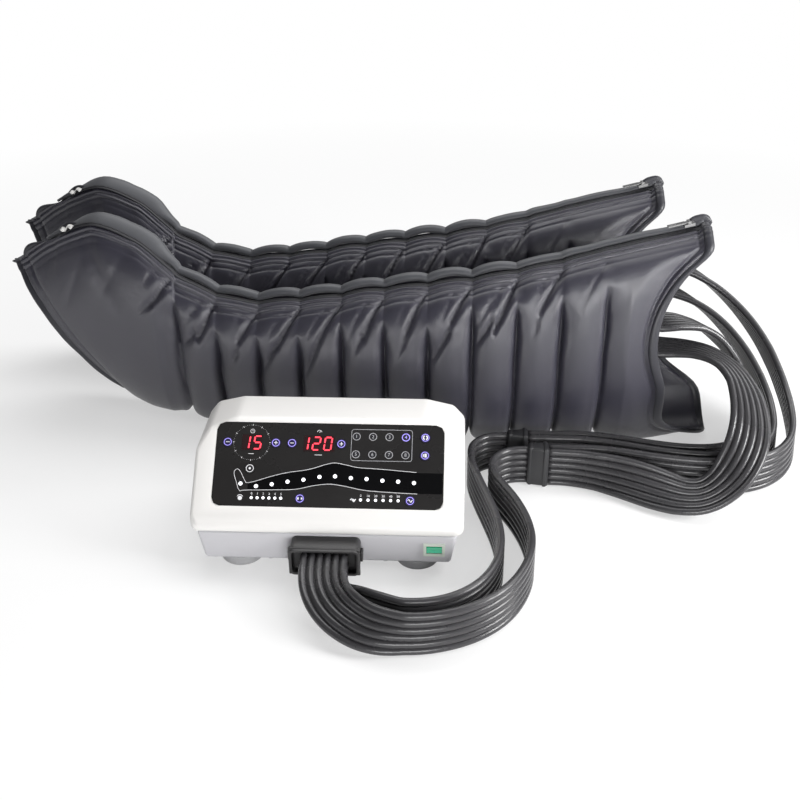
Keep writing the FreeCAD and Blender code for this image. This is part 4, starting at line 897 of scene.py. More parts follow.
def make_cover(edge_round):
    """The top cover as a hollow shell, with the panel's recess and the window under it."""
    low = console_point(-HALF_WIDTH, 0, SEAM_LEVEL)
    high = console_point(HALF_WIDTH, DEPTH, COVER_TOP)
    cover = trim(block("cover_shell", low, high), cover_cuts(0))
    wall = 2.6 * MM
    round_edges(cover, edge_round, 4, 8)
    margin = Vector((wall, wall, 0))
    hollow = block("cover_hollow", low + margin - UP * 20 * MM, high - margin - UP * wall)
    trim(hollow, cover_cuts(wall))
    recess = plate("panel_recess", width=254.6, height=96.6, corner=9.2, low=-1.3, high=30)
    window = plate("panel_window", width=247, height=89, corner=6, low=-12, high=30)
    subtract(cover, hollow, recess, window)
    shade(cover)
    return finish_piece(cover, MATERIALS["cover_plastic"], replaced=["top_cover"])


# Openings of the base: the low and high corner of each, in millimetres.
BASE_OPENINGS = {
    "socket_gap": ((-33.2, 0, 15.3), (33.2, 20, 42.7)),
    "switch_gap": ((107.7, 0, 23.9), (128.3, 15, 37.1)),
    "inlet_gap": ((81, 140, 17.7), (111, 170, 40.3)),
    "fuse_gap": ((25.8, 140, 20.8), (42.2, 170, 37.2)),
}


def make_base():
    """The tapered tray, rounded at its bottom edge, with its openings and back vents."""
    low = console_point(-BASE_HALF_WIDTH, BASE_FRONT, BASE_FLOOR)
    high = console_point(BASE_HALF_WIDTH, BASE_BACK, SEAM_LEVEL)
    cuts = [(console_point(side * BASE_HALF_WIDTH, 0, SEAM_LEVEL), Vector((side, 0, -7 / 37)).normalized())
            for side in (-1, 1)]
    tray = trim(block("base_shell", low, high), cuts)
    bevel_picked(tray, lambda one, other: abs(one.z - other.z) > 1 * MM or one.z < low.z + 1 * MM, 4 * MM, 4)
    wall = Vector((9.6, 2.4, 0)) * MM
    tools = [block("base_hollow", low + wall + UP * 2.4 * MM, high - wall + UP * 50 * MM)]
    for name, corners in BASE_OPENINGS.items():
        tools.append(block(name, *(console_point(*corner) for corner in corners)))
    for index in range(VENTS):
        start = -110 + VENT_PITCH * index
        vent = block("vent", console_point(start, 145, 20), console_point(start + 4, 170, 38))
        tools.append(round_edges(vent, 1.6 * MM, 3))
    subtract(tray, *tools)
    ledge = block("base_ledge", console_point(-147, 8, 48.6), console_point(147, 161, 50.4))
    tray = join("base_shell", [shade(tray), shade(ledge)])
    return finish_piece(tray, MATERIALS["base_plastic"], replaced=["base_tray"])


def make_feet():
    """Four round feet: a turned disc with a rounded shoulder and a shallow groove."""
    feet = []
    for x, y in FOOT_PLACES:
        foot = disc("foot", console_point(x, y, FOOT_HEIGHT / 2), FOOT_RADIUS * MM, FOOT_HEIGHT * MM, 72)
        round_edges(foot, 2.6 * MM, 4)
        activate(foot)
        bpy.ops.object.mode_set(mode="EDIT")
        for level in (GROOVE_LOW, GROOVE_HIGH):
            bpy.ops.mesh.select_all(action="SELECT")
            bpy.ops.mesh.bisect(plane_co=console_point(0, 0, level), plane_no=UP)
        bpy.ops.mesh.select_all(action="DESELECT")
        bpy.ops.object.mode_set(mode="OBJECT")
        middle = console_point(x, y, 0)
        for vertex in foot.data.vertices:
            if GROOVE_LOW - 0.1 < vertex.co.z / MM < GROOVE_HIGH + 0.1:
                spread = Vector((vertex.co.x - middle.x, vertex.co.y - middle.y, 0))
                vertex.co -= spread.normalized() * GROOVE_DEPTH * MM
        feet.append(shade(foot, 35))
    feet = join("feet", feet)
    return finish_piece(feet, MATERIALS["foot_rubber"], replaced=["rubber_feet"])


class PUMP_OT_case(bpy.types.Operator):
    """Model the console's cover, base and feet"""
    bl_idname = "pump.case"
    bl_label = "Console case"

    def execute(self, context):
        make_cover(context.scene.pump_console.edge_round)
        make_base()
        make_feet()
        return {"FINISHED"}


# ---------------------------------------------------------------- key panel prints

PRINT_LOW = 0.02
PRINT_HIGH = 0.12
TIME_MIDDLE = (-87.0, 24.5)
PRESSURE_MIDDLE = (-12.0, 24.5)
PRESSURE_DIGITS = (-14.7, 24.5)
KEYS = {
    "time_minus_key": (-114.0, 24.5, "minus"), "time_plus_key": (-60.0, 24.5, "plus"),
    "pressure_minus_key": (-42.0, 24.5, "minus"), "pressure_plus_key": (13.0, 24.5, "plus"),
    "single_chamber_key": (-87.0, -5.5, "target"), "mode_key": (106.0, 33.5, "cycle"),
    "start_key": (106.0, 13.0, "start"), "hold_key": (-29.5, -38.5, "arrows"),
    "interval_key": (91.0, -38.5, "wave"),
}
PLAIN_KEYS = ("single_chamber_key",)
KEY_PRINT_LOW, KEY_PRINT_HIGH = 0.5, 0.62
MODE_PLACES = [(57.0 + (column - 1.5) * 18.3, level) for level in (33.5, 13.0) for column in range(4)]
LIT_MODE = 4
FIELD_LEFT, FIELD_RIGHT = -88, 126
FIELD_MARGIN = 0.6


def stroke(points, width, low=PRINT_LOW, high=PRINT_HIGH, closed=False):
    """A printed line on the panel's plane, as a thin flat band."""
    flat = [Vector((u, v, 0)) for u, v in points]
    vertices = []
    for place, head in zip(flat, tangents(flat, closed)):
        across = Vector((-head.y, head.x, 0)) * width / 2
        for side, out in ((1, low), (1, high), (-1, high), (-1, low)):
            corner = place + across * side
            vertices.append(panel_point(corner.x, corner.y, out))
    last = (len(flat) - 1) * 4
    faces = grid_faces(len(flat), 4)
    faces += ring_faces(last, 0, 4) if closed else [(3, 2, 1, 0), tuple(range(last, last + 4))]
    return from_mesh("stroke", vertices, faces, False)


def ring(middle, radius, width, low=PRINT_LOW, high=PRINT_HIGH):
    return stroke(arc(middle, radius, 0, 360, 40)[:-1], width, low, high, closed=True)


def spot(middle, radius, low=PRINT_LOW, high=PRINT_HIGH, sides=24):
    return prism("spot", arc(middle, radius, 0, 360, sides)[:-1], low, high)


def curve_through(points, steps=8):
    """A smooth line through flat points."""
    line = []
    count = len(points)
    for index in range(count - 1):
        around = [Vector(points[min(max(index + step, 0), count - 1)]) for step in (-1, 0, 1, 2)]
        line += [tuple(between(*around, step / steps)) for step in range(steps)]
    line.append(tuple(points[-1]))
    return line


def numeral(number, across, up, height):
    """A plain printed number on the panel."""
    deselect()
    bpy.ops.object.text_add()
    item = bpy.context.object
    item.data.body = str(number)
    item.data.size = height * 1.35 * MM
    item.data.align_x = "CENTER"
    item.data.align_y = "CENTER"
    item.data.extrude = 0.05 * MM
    item.data.resolution_u = 3
    bpy.ops.object.convert(target="MESH")
    item = bpy.context.object
    item.rotation_euler = (PANEL_TILT, 0, 0)
    item.location = panel_point(across, up, 0.07)
    return settle(item, "numeral")


SEGMENTS = {
    "a": ((0.08, 1), (0.92, 1)), "b": ((1, 0.97), (1, 0.54)), "c": ((1, 0.46), (1, 0.03)),
    "d": ((0.08, 0), (0.92, 0)), "e": ((0, 0.03), (0, 0.46)), "f": ((0, 0.54), (0, 0.97)),
    "g": ((0.08, 0.5), (0.92, 0.5)),
}
DIGIT_SEGMENTS = {"0": "abcdef", "1": "bc", "2": "abged", "3": "abgcd", "4": "fgbc", "5": "afgcd",
                  "6": "afgedc", "7": "abc", "8": "abcdefg", "9": "abcdfg"}


def lit_number(text, middle):
    """Seven-segment digits, leaning a little to the right."""
    height, width, gap, lean, thick = 14.6, 7.6, 5.3, 0.11, 1.55
    pieces = []
    total = len(text) * width + (len(text) - 1) * gap
    for index, letter in enumerate(text):
        left = middle[0] - total / 2 + index * (width + gap)
        for name in DIGIT_SEGMENTS[letter]:
            ends = []
            for share_x, share_y in SEGMENTS[name]:
                up = (share_y - 0.5) * height
                ends.append(Vector((left + share_x * width + up * lean, middle[1] + up)))
            trimmed = (ends[1] - ends[0]).normalized() * 0.25
            pieces.append(stroke([ends[0] + trimmed, ends[1] - trimmed], thick, high=0.16))
    return pieces


def key_symbol(kind, x, y, low, high):
    """The printed pieces of a key's sign."""
    bar = ([(x - 2.1, y), (x + 2.1, y)], 0.8)
    wave = [(x - 2.6 + step * 0.4, y + 1.5 * math.sin(step * 0.55)) for step in range(14)]
    lines = {
        "minus": (bar,),
        "plus": (bar, ([(x, y - 2.1), (x, y - 0.4)], 0.8), ([(x, y + 0.4), (x, y + 2.1)], 0.8)),
        "cycle": ((arc((x, y), 2.2, 110, 250, 12), 1.5), (arc((x, y), 2.2, -70, 70, 12), 1.5)),
        "start": (([(x - 1.9, y - 1.6), (x - 1.9, y + 1.6)], 1.3),
                  ([(x + 0.6, y - 2.2), (x + 0.6, y + 2.2)], 2.6)),
        "arrows": (([(x - 2.9, y), (x - 1.2, y)], 2.4), ([(x + 1.2, y), (x + 2.9, y)], 2.4)),
        "wave": ((wave, 0.9),),
    }
    if kind == "target":
        return [spot((x, y), 1.3, low, high)]
    return [stroke(points, width, low, high) for points, width in lines[kind]]


LEG_UPPER = ((-90, -22), (-82, -20.5), (-64, -14.5), (-45, -9.4), (-22, -5.4), (-1.5, 1.1),
             (8, 2.6), (20, 0.4), (34, -2.2), (60, -3.6), (97, -6.4))
LEG_LOWER = ((-96, -31.4), (-90, -30.2), (-62, -29.4), (-35.6, -28.2), (-15, -23.6), (2, -21.6),
             (18, -23.4), (40, -27.6), (66, -29.4), (98.6, -30.6))
FOOT_LOOP = ((-90, -22), (-93, -17), (-97, -9.5), (-100.5, -6.4), (-103.6, -8.4), (-103.8, -13),
             (-100.5, -22), (-98.5, -28), (-96, -31.4))
CHAMBER_DOTS = ((-96.1, -22.9), (-78.7, -25.5), (-61.5, -23.0), (-44.2, -19.8), (-26.8, -17.2),
                (-9.3, -13.6), (7.8, -12.6), (25.3, -14.2), (42.6, -14.9), (60.1, -16.4),
                (77.3, -17.2), (94.7, -18.3))


def beside(middle, radius, degrees):
    """The place this far from a middle, at an angle."""
    turn = math.radians(degrees)
    return middle[0] + radius * math.cos(turn), middle[1] + radius * math.sin(turn)


def display_prints():
    """The dial of ticks round the time, and the small icons and rules by both displays."""
    pieces = []
    for hour in range(0, 360, 30):
        pieces.append(stroke([beside(TIME_MIDDLE, 19.5, hour), beside(TIME_MIDDLE, 21.2, hour)], 0.6))
        for minute in range(6, 30, 6):
            pieces.append(spot(beside(TIME_MIDDLE, 20.3, hour + minute), 0.22, sides=6))
    x, y = TIME_MIDDLE[0], 37.6
    pieces += [ring((x, y), 2.3, 0.45), stroke([(x, y), (x, y + 1.6)], 0.45),
               stroke([(x, y), (x + 1.2, y)], 0.45), stroke([(x - 3, 11.4), (x + 3, 11.4)], 0.6)]
    x, y = PRESSURE_MIDDLE[0], 37.4
    pieces += [stroke(arc((x, y), 2.6, 10, 170, 16), 0.5), stroke([(x, y), (x + 1.3, y + 1.7)], 0.5),
               stroke([(x - 4, 11.4), (x + 4, 11.4)], 0.6)]
    return pieces


def scale_prints():
    """The drawn leg, the two scales' numbers and their small icons."""
    leg = curve_through(FOOT_LOOP, 5)[:-1] + curve_through(LEG_LOWER)
    pieces = [stroke(leg, 0.5), stroke(curve_through(LEG_UPPER), 0.5)]
    for first, pitch, numbers in ((-83.0, 6.5, range(6)), (37.0, 8.2, range(0, 60, 10))):
        for index, number in enumerate(numbers):
            pieces.append(numeral(number, first + index * pitch, -34.0, 2.7))
    pieces += [spot((-95.5, -39.2), 2.4), stroke(arc((-95.5, -38.5), 3.1, 20, 160, 12), 0.7)]
    pieces.append(stroke([(26 + step * 0.62, -39 + 1.7 * math.sin(step * 0.8)) for step in range(10)], 1.1))
    pieces.append(spot((29, -39), 1.4))
    return pieces


def mode_prints():
    """The frame round the eight modes, and their numbered rings but the lit one's."""
    pieces = [stroke(rounded_outline((24.0, 5.8), (91.5, 41.8), 3.0, 6), 0.55, closed=True)]
    for number in range(1, len(MODE_PLACES) + 1):
        if number != LIT_MODE:
            pieces += mode_ring(number, 0.7)
    return pieces


def mode_ring(number, width):
    place = MODE_PLACES[number - 1]
    return [ring(place, 4.1, width), numeral(number, *place, 4.0)]


def level_at(line, x, end, beyond):
    """The height of a line at x, and a steady height beyond its end."""
    return [v for u, v in line if u <= x][-1] if x < end else beyond


def make_leg_field():
    """The dark field between the drawn leg's two lines, on to the panel's right edge."""
    upper = curve_through(LEG_UPPER)
    lower = curve_through(LEG_LOWER)
    count = 60
    vertices = []
    for step in range(count):
        x = mix(FIELD_LEFT, FIELD_RIGHT, step / (count - 1))
        top = level_at(upper, x, 97, -6.4) - FIELD_MARGIN
        low = level_at(lower, x, 98, -31.0) + FIELD_MARGIN
        vertices += [panel_point(x, top, 0.01), panel_point(x, low, 0.01)]
    faces = [(2 * step, 2 * step + 1, 2 * step + 3, 2 * step + 2) for step in range(count - 1)]
    field = from_mesh("leg_field", vertices, faces, False)
    return apply_modifier(field, "SOLIDIFY", thickness=0.02 * MM, offset=0)


class PUMP_OT_panel(bpy.types.Operator):
    """Print the panel: rings, icons, the drawn leg, scales and lit digits"""
    bl_idname = "pump.panel"
    bl_label = "Panel prints"

    def execute(self, context):
        settings = context.scene.pump_console
        prints = (
            ("white_prints", display_prints() + scale_prints(), "white_print_painted_glow", "panel_gloss"),
            ("mode_prints", mode_prints(), "grey_print_painted_glow", "panel_gloss"),
            ("lit_digits", lit_number(settings.time_text, TIME_MIDDLE)
             + lit_number(settings.pressure_text, PRESSURE_DIGITS), "red_digit", "display_lens"),
            ("lit_mode", mode_ring(LIT_MODE, 0.9), "violet_print", "panel_gloss"),
            ("leg_field", [make_leg_field()], "panel_field", "panel_gloss"),
            ("chamber_dots", [spot(place, 2.2, 0.04, 0.14) for place in CHAMBER_DOTS],
             "white_lamp", "lamp_lens"),
            ("chamber_pips", [spot(place, 0.45, 0.15, 0.18, 10) for place in CHAMBER_DOTS],
             "soft_black", "lamp_lens"),
        )
        for name, pieces, material, slot in prints:
            finish_piece(join(name, pieces), MATERIALS[material])
        for name, (x, y, kind) in KEYS.items():
            colour = "white_print_painted_glow" if name in PLAIN_KEYS else "violet_print"
            symbol = key_symbol(kind, x, y, KEY_PRINT_LOW, KEY_PRINT_HIGH)
            rim = ring((x, y), 4.0, 0.75, KEY_PRINT_LOW, KEY_PRINT_HIGH)
            finish_piece(join(f"{name}_symbol", symbol), MATERIALS["white_print_painted_glow"], name)
            finish_piece(join(f"{name}_ring", [rim]), MATERIALS[colour], name)
        return {"FINISHED"}


# ---------------------------------------------------------------- plug, splitters and switch

PLUG_LOW, PLUG_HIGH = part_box("hose_plug")
PLUG_WALL = 3.2
# Splitters: where the single ribbon enters each, and their size, in millimetres.
SPLITTER_PLACES = ((228, 188), (204, 220))
SPLITTER_LENGTH = 26
SPLITTER_HALF_WIDTH = 10.5


def make_plug():
    """A rounded shroud with a raised rim round its mouth and a latch on each side."""
    middle = (PLUG_LOW + PLUG_HIGH) / 2
    low = Vector((middle.x - 38 * MM, PLUG_LOW.y, PLUG_LOW.z))
    high = Vector((middle.x + 38 * MM, PLUG_HIGH.y, PLUG_HIGH.z))
    shell = block("plug_shroud", low, high)
    bevel_picked(shell, lambda one, other: abs(one.y - other.y) > 1 * MM, 6 * MM, 6)
    opening = low + Vector((PLUG_WALL, -5, PLUG_WALL)) * MM
    mouth = block("plug_mouth", opening, high - Vector((PLUG_WALL, 18, PLUG_WALL)) * MM)
    subtract(shell, round_edges(mouth, 3 * MM, 4))
    round_edges(shell, 0.9 * MM, 2, 40)
    rim = block("plug_rim", low - Vector((0.9, -2.2, 0.9)) * MM,
                Vector((high.x, low.y, high.z)) + Vector((0.9, 5.6, 0.9)) * MM)
    round_edges(rim, 1.4 * MM, 3)
    rim_hole = block("rim_hole", opening, high - Vector((PLUG_WALL, 5, PLUG_WALL)) * MM)
    subtract(rim, rim_hole)
    pieces = [shade(shell), shade(rim)]
    half = Vector((1.6, 5, 6)) * MM
    for side in (-1, 1):
        centre = Vector((middle.x + side * 39.4 * MM, low.y + 17 * MM, middle.z))
        latch = block("plug_latch", centre - half, centre + half)
        pieces.append(shade(round_edges(latch, 1.0 * MM, 3)))
    plug = join("plug_shroud", pieces)
    return finish_piece(plug, MATERIALS["plug_plastic"], "plug", ["hose_plug"])


def make_splitters():
    """Moulded rubber bodies where one ribbon becomes two, each with a band round both ends."""
    pieces = []
    for x, y in SPLITTER_PLACES:
        low = console_point(x, y - SPLITTER_HALF_WIDTH, 0.4)
        high = console_point(x + SPLITTER_LENGTH, y + SPLITTER_HALF_WIDTH, 53.4)
        body = block("splitter", low, high)
        for vertex in body.data.vertices:
            if vertex.co.x < low.x + 1 * MM:
                middle = (low.y + high.y) / 2
                vertex.co.y = middle + (vertex.co.y - middle) * 0.55
        pieces.append(shade(round_edges(body, 2.6 * MM, 4)))
        for start, reach in ((1.5, 6.6), (19.0, 10.9)):
            band = block("band", console_point(x + start, y - reach, 0.2),
                         console_point(x + start + 5, y + reach, 54.0))
            pieces.append(shade(round_edges(band, 1.6 * MM, 3)))
    splitters = join("splitters", pieces)
    return finish_piece(splitters, MATERIALS["splitter_rubber"],
                        replaced=["hose_splitters"])


class PUMP_OT_fittings(bpy.types.Operator):
    """Model the hose plug and the splitters"""
    bl_idname = "pump.fittings"
    bl_label = "Plug and splitters"

    def execute(self, context):
        make_plug()
        make_splitters()
        return {"FINISHED"}


# ---------------------------------------------------------------- leg sleeves

FOOT_END_PLACE = 4.0
TOP_STEPS = 0.55
SEAM_STEPS = 0.5
LEVEL_ARCH = 0.85
LAST_PLACE = len(SLEEVE_SECTIONS) - 1.0
# Lines of sewing beside the zip: distance from it in millimetres, and strength.
SEWING = ((10.5, 1.0), (18, 0.8), (27, 0.25))
# The lining's distance from the outside, at the hem and further in, in millimetres.
LINING_HEM, LINING_DEEP = 3.0, 19.0
# Rings of the foot's hollow end: inset and depth in millimetres, and the depth of its bottom.
HOLLOW = ((2, -1.5), (4, 3), (8, 16), (11, 30))
HOLLOW_BOTTOM = 34
# Where the ridge's flap begins and ends: x of each soft step's start and end.
FLAP_START = (-395 * MM, -345 * MM)
FLAP_END = (-262 * MM, -226 * MM)
TAPE_HALF_WIDTH = 6.2 * MM
TAPE_HALF_THICK = 0.5 * MM
COIL_PITCH = 2.2 * MM
COIL_SWING = 1.2 * MM
COIL_RISE = 0.9 * MM
WIRE_RADIUS = 0.7 * MM


def sleeve_origin(side):
    low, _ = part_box(f"{side}_sleeve")
    return Vector((low.x - SOLE_TIP_X, low.y - KNEE_NEAR_Y, 0))


def soft_step(value, start, end):
    """ramp() for whole arrays."""
    share = np.clip((value - start) / (end - start), 0, 1)
    return share * share * (3 - 2 * share)


def bump(value, width):
    return np.exp(-(value / width) ** 2)


def fold(value, width):
    """A sharp-bottomed groove."""
    return np.exp(-np.abs(value / width) ** 1.15)


def sections_at(places):
    """The sleeve's sections, in metres, at places from 0, the sole, to the last, the mouth."""
    table = np.array(SLEEVE_SECTIONS, float) * MM
    last = len(table) - 1
    places = np.clip(places, 0, last)
    index = np.minimum(places.astype(int), last - 1)
    share = (places - index)[..., None]
    around = [table[np.clip(index + step, 0, last)] for step in (-1, 0, 1, 2)]
    return mix(mix(around[1], around[2], share), between(*around, share), 0.7)


def skin_points(places, turns):
    """Points of the sleeve's plain form: turn 0 is the top, a quarter turn is the near side."""
    values = sections_at(places)
    low = values[..., (0, 1)]
    high = values[..., (2, 3)]
    middle = (low + high) / 2
    along = (high - low) / 2 * np.cos(turns)[..., None]
    # the foot's end is two flat panels sewn edge to edge, so its section is pointed
    pointed = 1 - soft_step(places, 0.2, FOOT_END_PLACE)
    sine = np.sin(turns)
    aside = values[..., 4] * sine * np.abs(sine) ** (0.9 * pointed)
    return np.stack([middle[..., 0] + along[..., 0], values[..., 5] - aside,
                     middle[..., 1] + along[..., 1]], -1)


def place_of_x(x):
    """The place along the sleeve whose section's middle has this x."""
    low, high = 0.0, LAST_PLACE
    for _ in range(30):
        middle = (low + high) / 2
        values = sections_at(np.array(middle))
        if (values[0] + values[2]) / 2 < x:
            low = middle
        else:
            high = middle
    return low


def mouth_places(turns):
    """Where the open end's round bite, or the sleeve's end, cuts each line along the sleeve."""
    steps = np.linspace(place_of_x(330 * MM), LAST_PLACE, 240)
    points = skin_points(steps[:, None], np.broadcast_to(turns, (len(steps), len(turns))))
    away = np.hypot(points[..., 0] - MOUTH_CENTRE.x, points[..., 2] - MOUTH_CENTRE.z)
    inside = away < MOUTH_RADIUS
    # the near panel's lower corner stops short of the far one's
    near_low = soft_step(np.sin(turns), 0.1, 0.75) * (np.cos(turns) < 0.2)
    inside |= points[..., 0] > mix(480 * MM, 398 * MM, near_low)[None]
    first = np.where(inside.any(0), inside.argmax(0), len(steps) - 1)
    return steps[first]


def noise_at(points, scale, seed=0.0):
    flat = points.reshape(-1, 3) * np.array(scale) + seed
    return np.array([noise.noise(Vector(place)) for place in flat]).reshape(points.shape[:-1])


def wave_by_seam(number, seed):
    """One steady random value from -1 to 1 for each seam."""
    return np.sin(number * 12.9898 + seed * 78.233) * np.cos(number * 4.1414 + seed)


def swollen_chambers(settings, points, from_top, chamber, seam, in_row):
    """Chambers full below and slack towards the zip; their seams start at uneven heights."""
    beyond = np.where(chamber < 0, -chamber, chamber - (SEAMS - 1))
    share = chamber - np.floor(chamber)
    sway = 1.6 * wave_by_seam(seam, 1.0) * np.sin(from_top * 38 + seam)
    sway = sway + 2.4 * noise_at(points, (3, 3, 14), 4.0)
    from_seam = points[..., 0] - (FIRST_SEAM + seam * CHAMBER_PITCH)
    from_seam = from_seam + sway * MM * soft_step(from_top, 60 * MM, 120 * MM)
    round_chamber = (1 - np.abs(2 * share - 1) ** 2.0) ** 0.62
    round_end = np.clip(beyond * 2.0, 0, 1) ** 0.55
    full = np.where(in_row, round_chamber, round_end)
    start = (52 + 12 * wave_by_seam(seam, 3.0)) * MM
    deep = soft_step(from_top, start, start + 42 * MM)
    pinched = soft_step(from_top, start, start + 22 * MM)
    value = -settings.puff * (1 - full) * deep
    value -= settings.crease_depth * 0.75 * fold(from_seam, 2.0 * MM) * pinched
    return value + 1.6 * MM * bump(from_seam + 8 * MM, 5 * MM) * deep


def slanting_folds(settings, x, from_top, chamber, seam, in_row):
    """Folds that slant from each seam's top down to the left, the second set fainter."""
    value = np.zeros(x.shape)
    slope = 0.50 + 0.10 * wave_by_seam(seam, 5.0)
    for shift, depth, reach in ((0.0, 1.0, 1.0), (-0.30, 0.28, 0.6)):
        line = x + slope * (from_top - 18 * MM) - FIRST_SEAM - shift * CHAMBER_PITCH
        number = np.clip(np.round(line / CHAMBER_PITCH), 0, SEAMS - 1)
        away = line - number * CHAMBER_PITCH + 2.0 * MM * np.sin(from_top * 60 + number)
        lively = 0.75 + 0.35 * wave_by_seam(number, shift + 7)
        end = (78 + 16 * wave_by_seam(number, shift + 2)) * reach * MM
        window = soft_step(from_top, 16 * MM, 34 * MM)
        window = window * (1 - soft_step(from_top, end - 8 * MM, end + 34 * MM))
        window *= np.where((number == SEAMS - 1) | (chamber > SEAMS - 1.2), 0.12, 1.0)
        pillow = (1 - np.abs(2 * ((line / CHAMBER_PITCH) % 1) - 1) ** 2.3) ** 0.8
        value -= settings.puff * 0.30 * (1 - pillow) * window * depth * np.where(in_row, 1, 0.3)
        value -= settings.crease_depth * 0.72 * fold(away, 1.5 * MM) * window * depth * lively
        value += 1.1 * MM * bump(away - 7 * MM, 4.5 * MM) * window * depth
    return value


def sewn_band(points, from_top, chamber, in_row):
    """The band along the zip: lines of sewing that rise over each chamber and dip at its seams."""
    share = chamber - np.floor(chamber)
    arch = np.where(in_row, np.abs(np.sin(np.pi * share)) ** 0.7, LEVEL_ARCH)
    arch = np.clip(arch * (0.8 + 0.25 * wave_by_seam(np.floor(chamber), 9.0)), 0, 1)
    arch = mix(arch, LEVEL_ARCH, soft_step(chamber, SEAMS - 2.3, SEAMS - 1.6))
    value = -4.4 * MM * (1 - arch) * (1 - soft_step(from_top, 26 * MM, 62 * MM))
    for line, strength in SEWING:
        away = from_top - (line + 3 - 4.2 * arch) * MM - 1.2 * MM * noise_at(points, (22, 4, 22), 11.0)
        fade = np.where((line > 20) & ~in_row, 0.35, 1.0)
        value += strength * MM * bump(away, 1.9 * MM) * fade
        value -= 1.1 * MM * bump(away - 3.2 * MM, 1.2 * MM) * fade
    return value - 1.6 * MM * (1 - soft_step(from_top, 24 * MM, 40 * MM))


def valley_and_hems(x, from_zip, to_rim, to_sole):
    """The valley that the zip lies in, with a pit at its lower end, and the hems of both ends."""
    pit = bump(x + 392 * MM, 16 * MM)
    value = -(3.4 + 7.0 * pit) * MM * bump(from_zip, 5.5 * MM)
    value -= 2.4 * MM * bump(to_rim - 13 * MM, 2.0 * MM) - 1.0 * MM * bump(to_rim - 7 * MM, 3.5 * MM)
    sunken = soft_step(np.abs(from_zip), 20 * MM, 70 * MM)
    value -= 6.5 * MM * (1 - soft_step(to_rim, 9 * MM, 42 * MM)) * sunken
    value -= 1.9 * MM * bump(to_sole - 12 * MM, 1.7 * MM)
    return value - 1.6 * MM * (1 - soft_step(to_sole, 8 * MM, 20 * MM))


def soft_unevenness(points, from_top, chamber, seam):
    """Slow waves, puckers beside the seams, and the foot's big folds."""
    x = points[..., 0]
    value = 1.6 * MM * noise_at(points, (10, 5, 8), 1.0)
    pucker = bump(x - (FIRST_SEAM + seam * CHAMBER_PITCH), 10 * MM)
    value += 1.3 * MM * pucker * noise_at(points, (48, 18, 62), 2.0)
    value += 3.2 * MM * soft_step(-chamber, 0.1, 1.6) * noise_at(points, (9, 4, 13), 6.0)
    crook = x + 300 * MM + 0.42 * (points[..., 2] - 150 * MM)
    return value - 3.0 * MM * bump(crook, 12 * MM) * bump(from_top - 60 * MM, 45 * MM)


def relief(settings, points, from_zip, to_rim, to_sole):
    """How far the cloth stands off the plain form."""
    x = points[..., 0]
    from_top = np.abs(from_zip)
    chamber = (x - FIRST_SEAM) / CHAMBER_PITCH
    seam = np.clip(np.round(chamber), 0, SEAMS - 1)
    in_row = (chamber > 0) & (chamber < SEAMS - 1)
    return (swollen_chambers(settings, points, from_top, chamber, seam, in_row)
            + slanting_folds(settings, x, from_top, chamber, seam, in_row)
            + sewn_band(points, from_top, chamber, in_row)
            + valley_and_hems(x, from_zip, to_rim, to_sole)
            + soft_unevenness(points, from_top, chamber, seam))


def sleeve_lines(settings):
    """Places and turns of the whole grid, closer together at the seams and the zip."""
    columns = settings.columns
    even = np.arange(columns) / columns
    turns = 2 * np.pi * (even - TOP_STEPS * np.sin(2 * np.pi * even) / (2 * np.pi))
    places = list(np.linspace(0, place_of_x(FIRST_SEAM), int(settings.rows * 2.6), endpoint=False))
    within = np.arange(settings.rows) / settings.rows
    within = within - SEAM_STEPS * np.sin(2 * np.pi * within) / (2 * np.pi)
    for chamber in range(SEAMS - 1):
        places += [place_of_x(FIRST_SEAM + (chamber + share) * CHAMBER_PITCH) for share in within]
    grid = np.repeat(np.array(places)[:, None], columns, 1)
    start = place_of_x(FIRST_SEAM + (SEAMS - 1) * CHAMBER_PITCH)
    ends = mouth_places(turns)
    # the rim is smoothed a little, so that its corners are rounded as a hem's are
    for _ in range(14):
        ends = (np.roll(ends, 1) + 2 * ends + np.roll(ends, -1)) / 4
    closing = np.linspace(0, 1, int(settings.rows * 1.7))[:, None]
    grid = np.vstack([grid, start + closing * (ends[None, :] - start)])
    return grid, np.broadcast_to(turns, grid.shape)


def nearest_of(points, line):
    gaps = np.linalg.norm(points[..., None, :] - line[None, None], axis=-1)
    return gaps.min(-1)


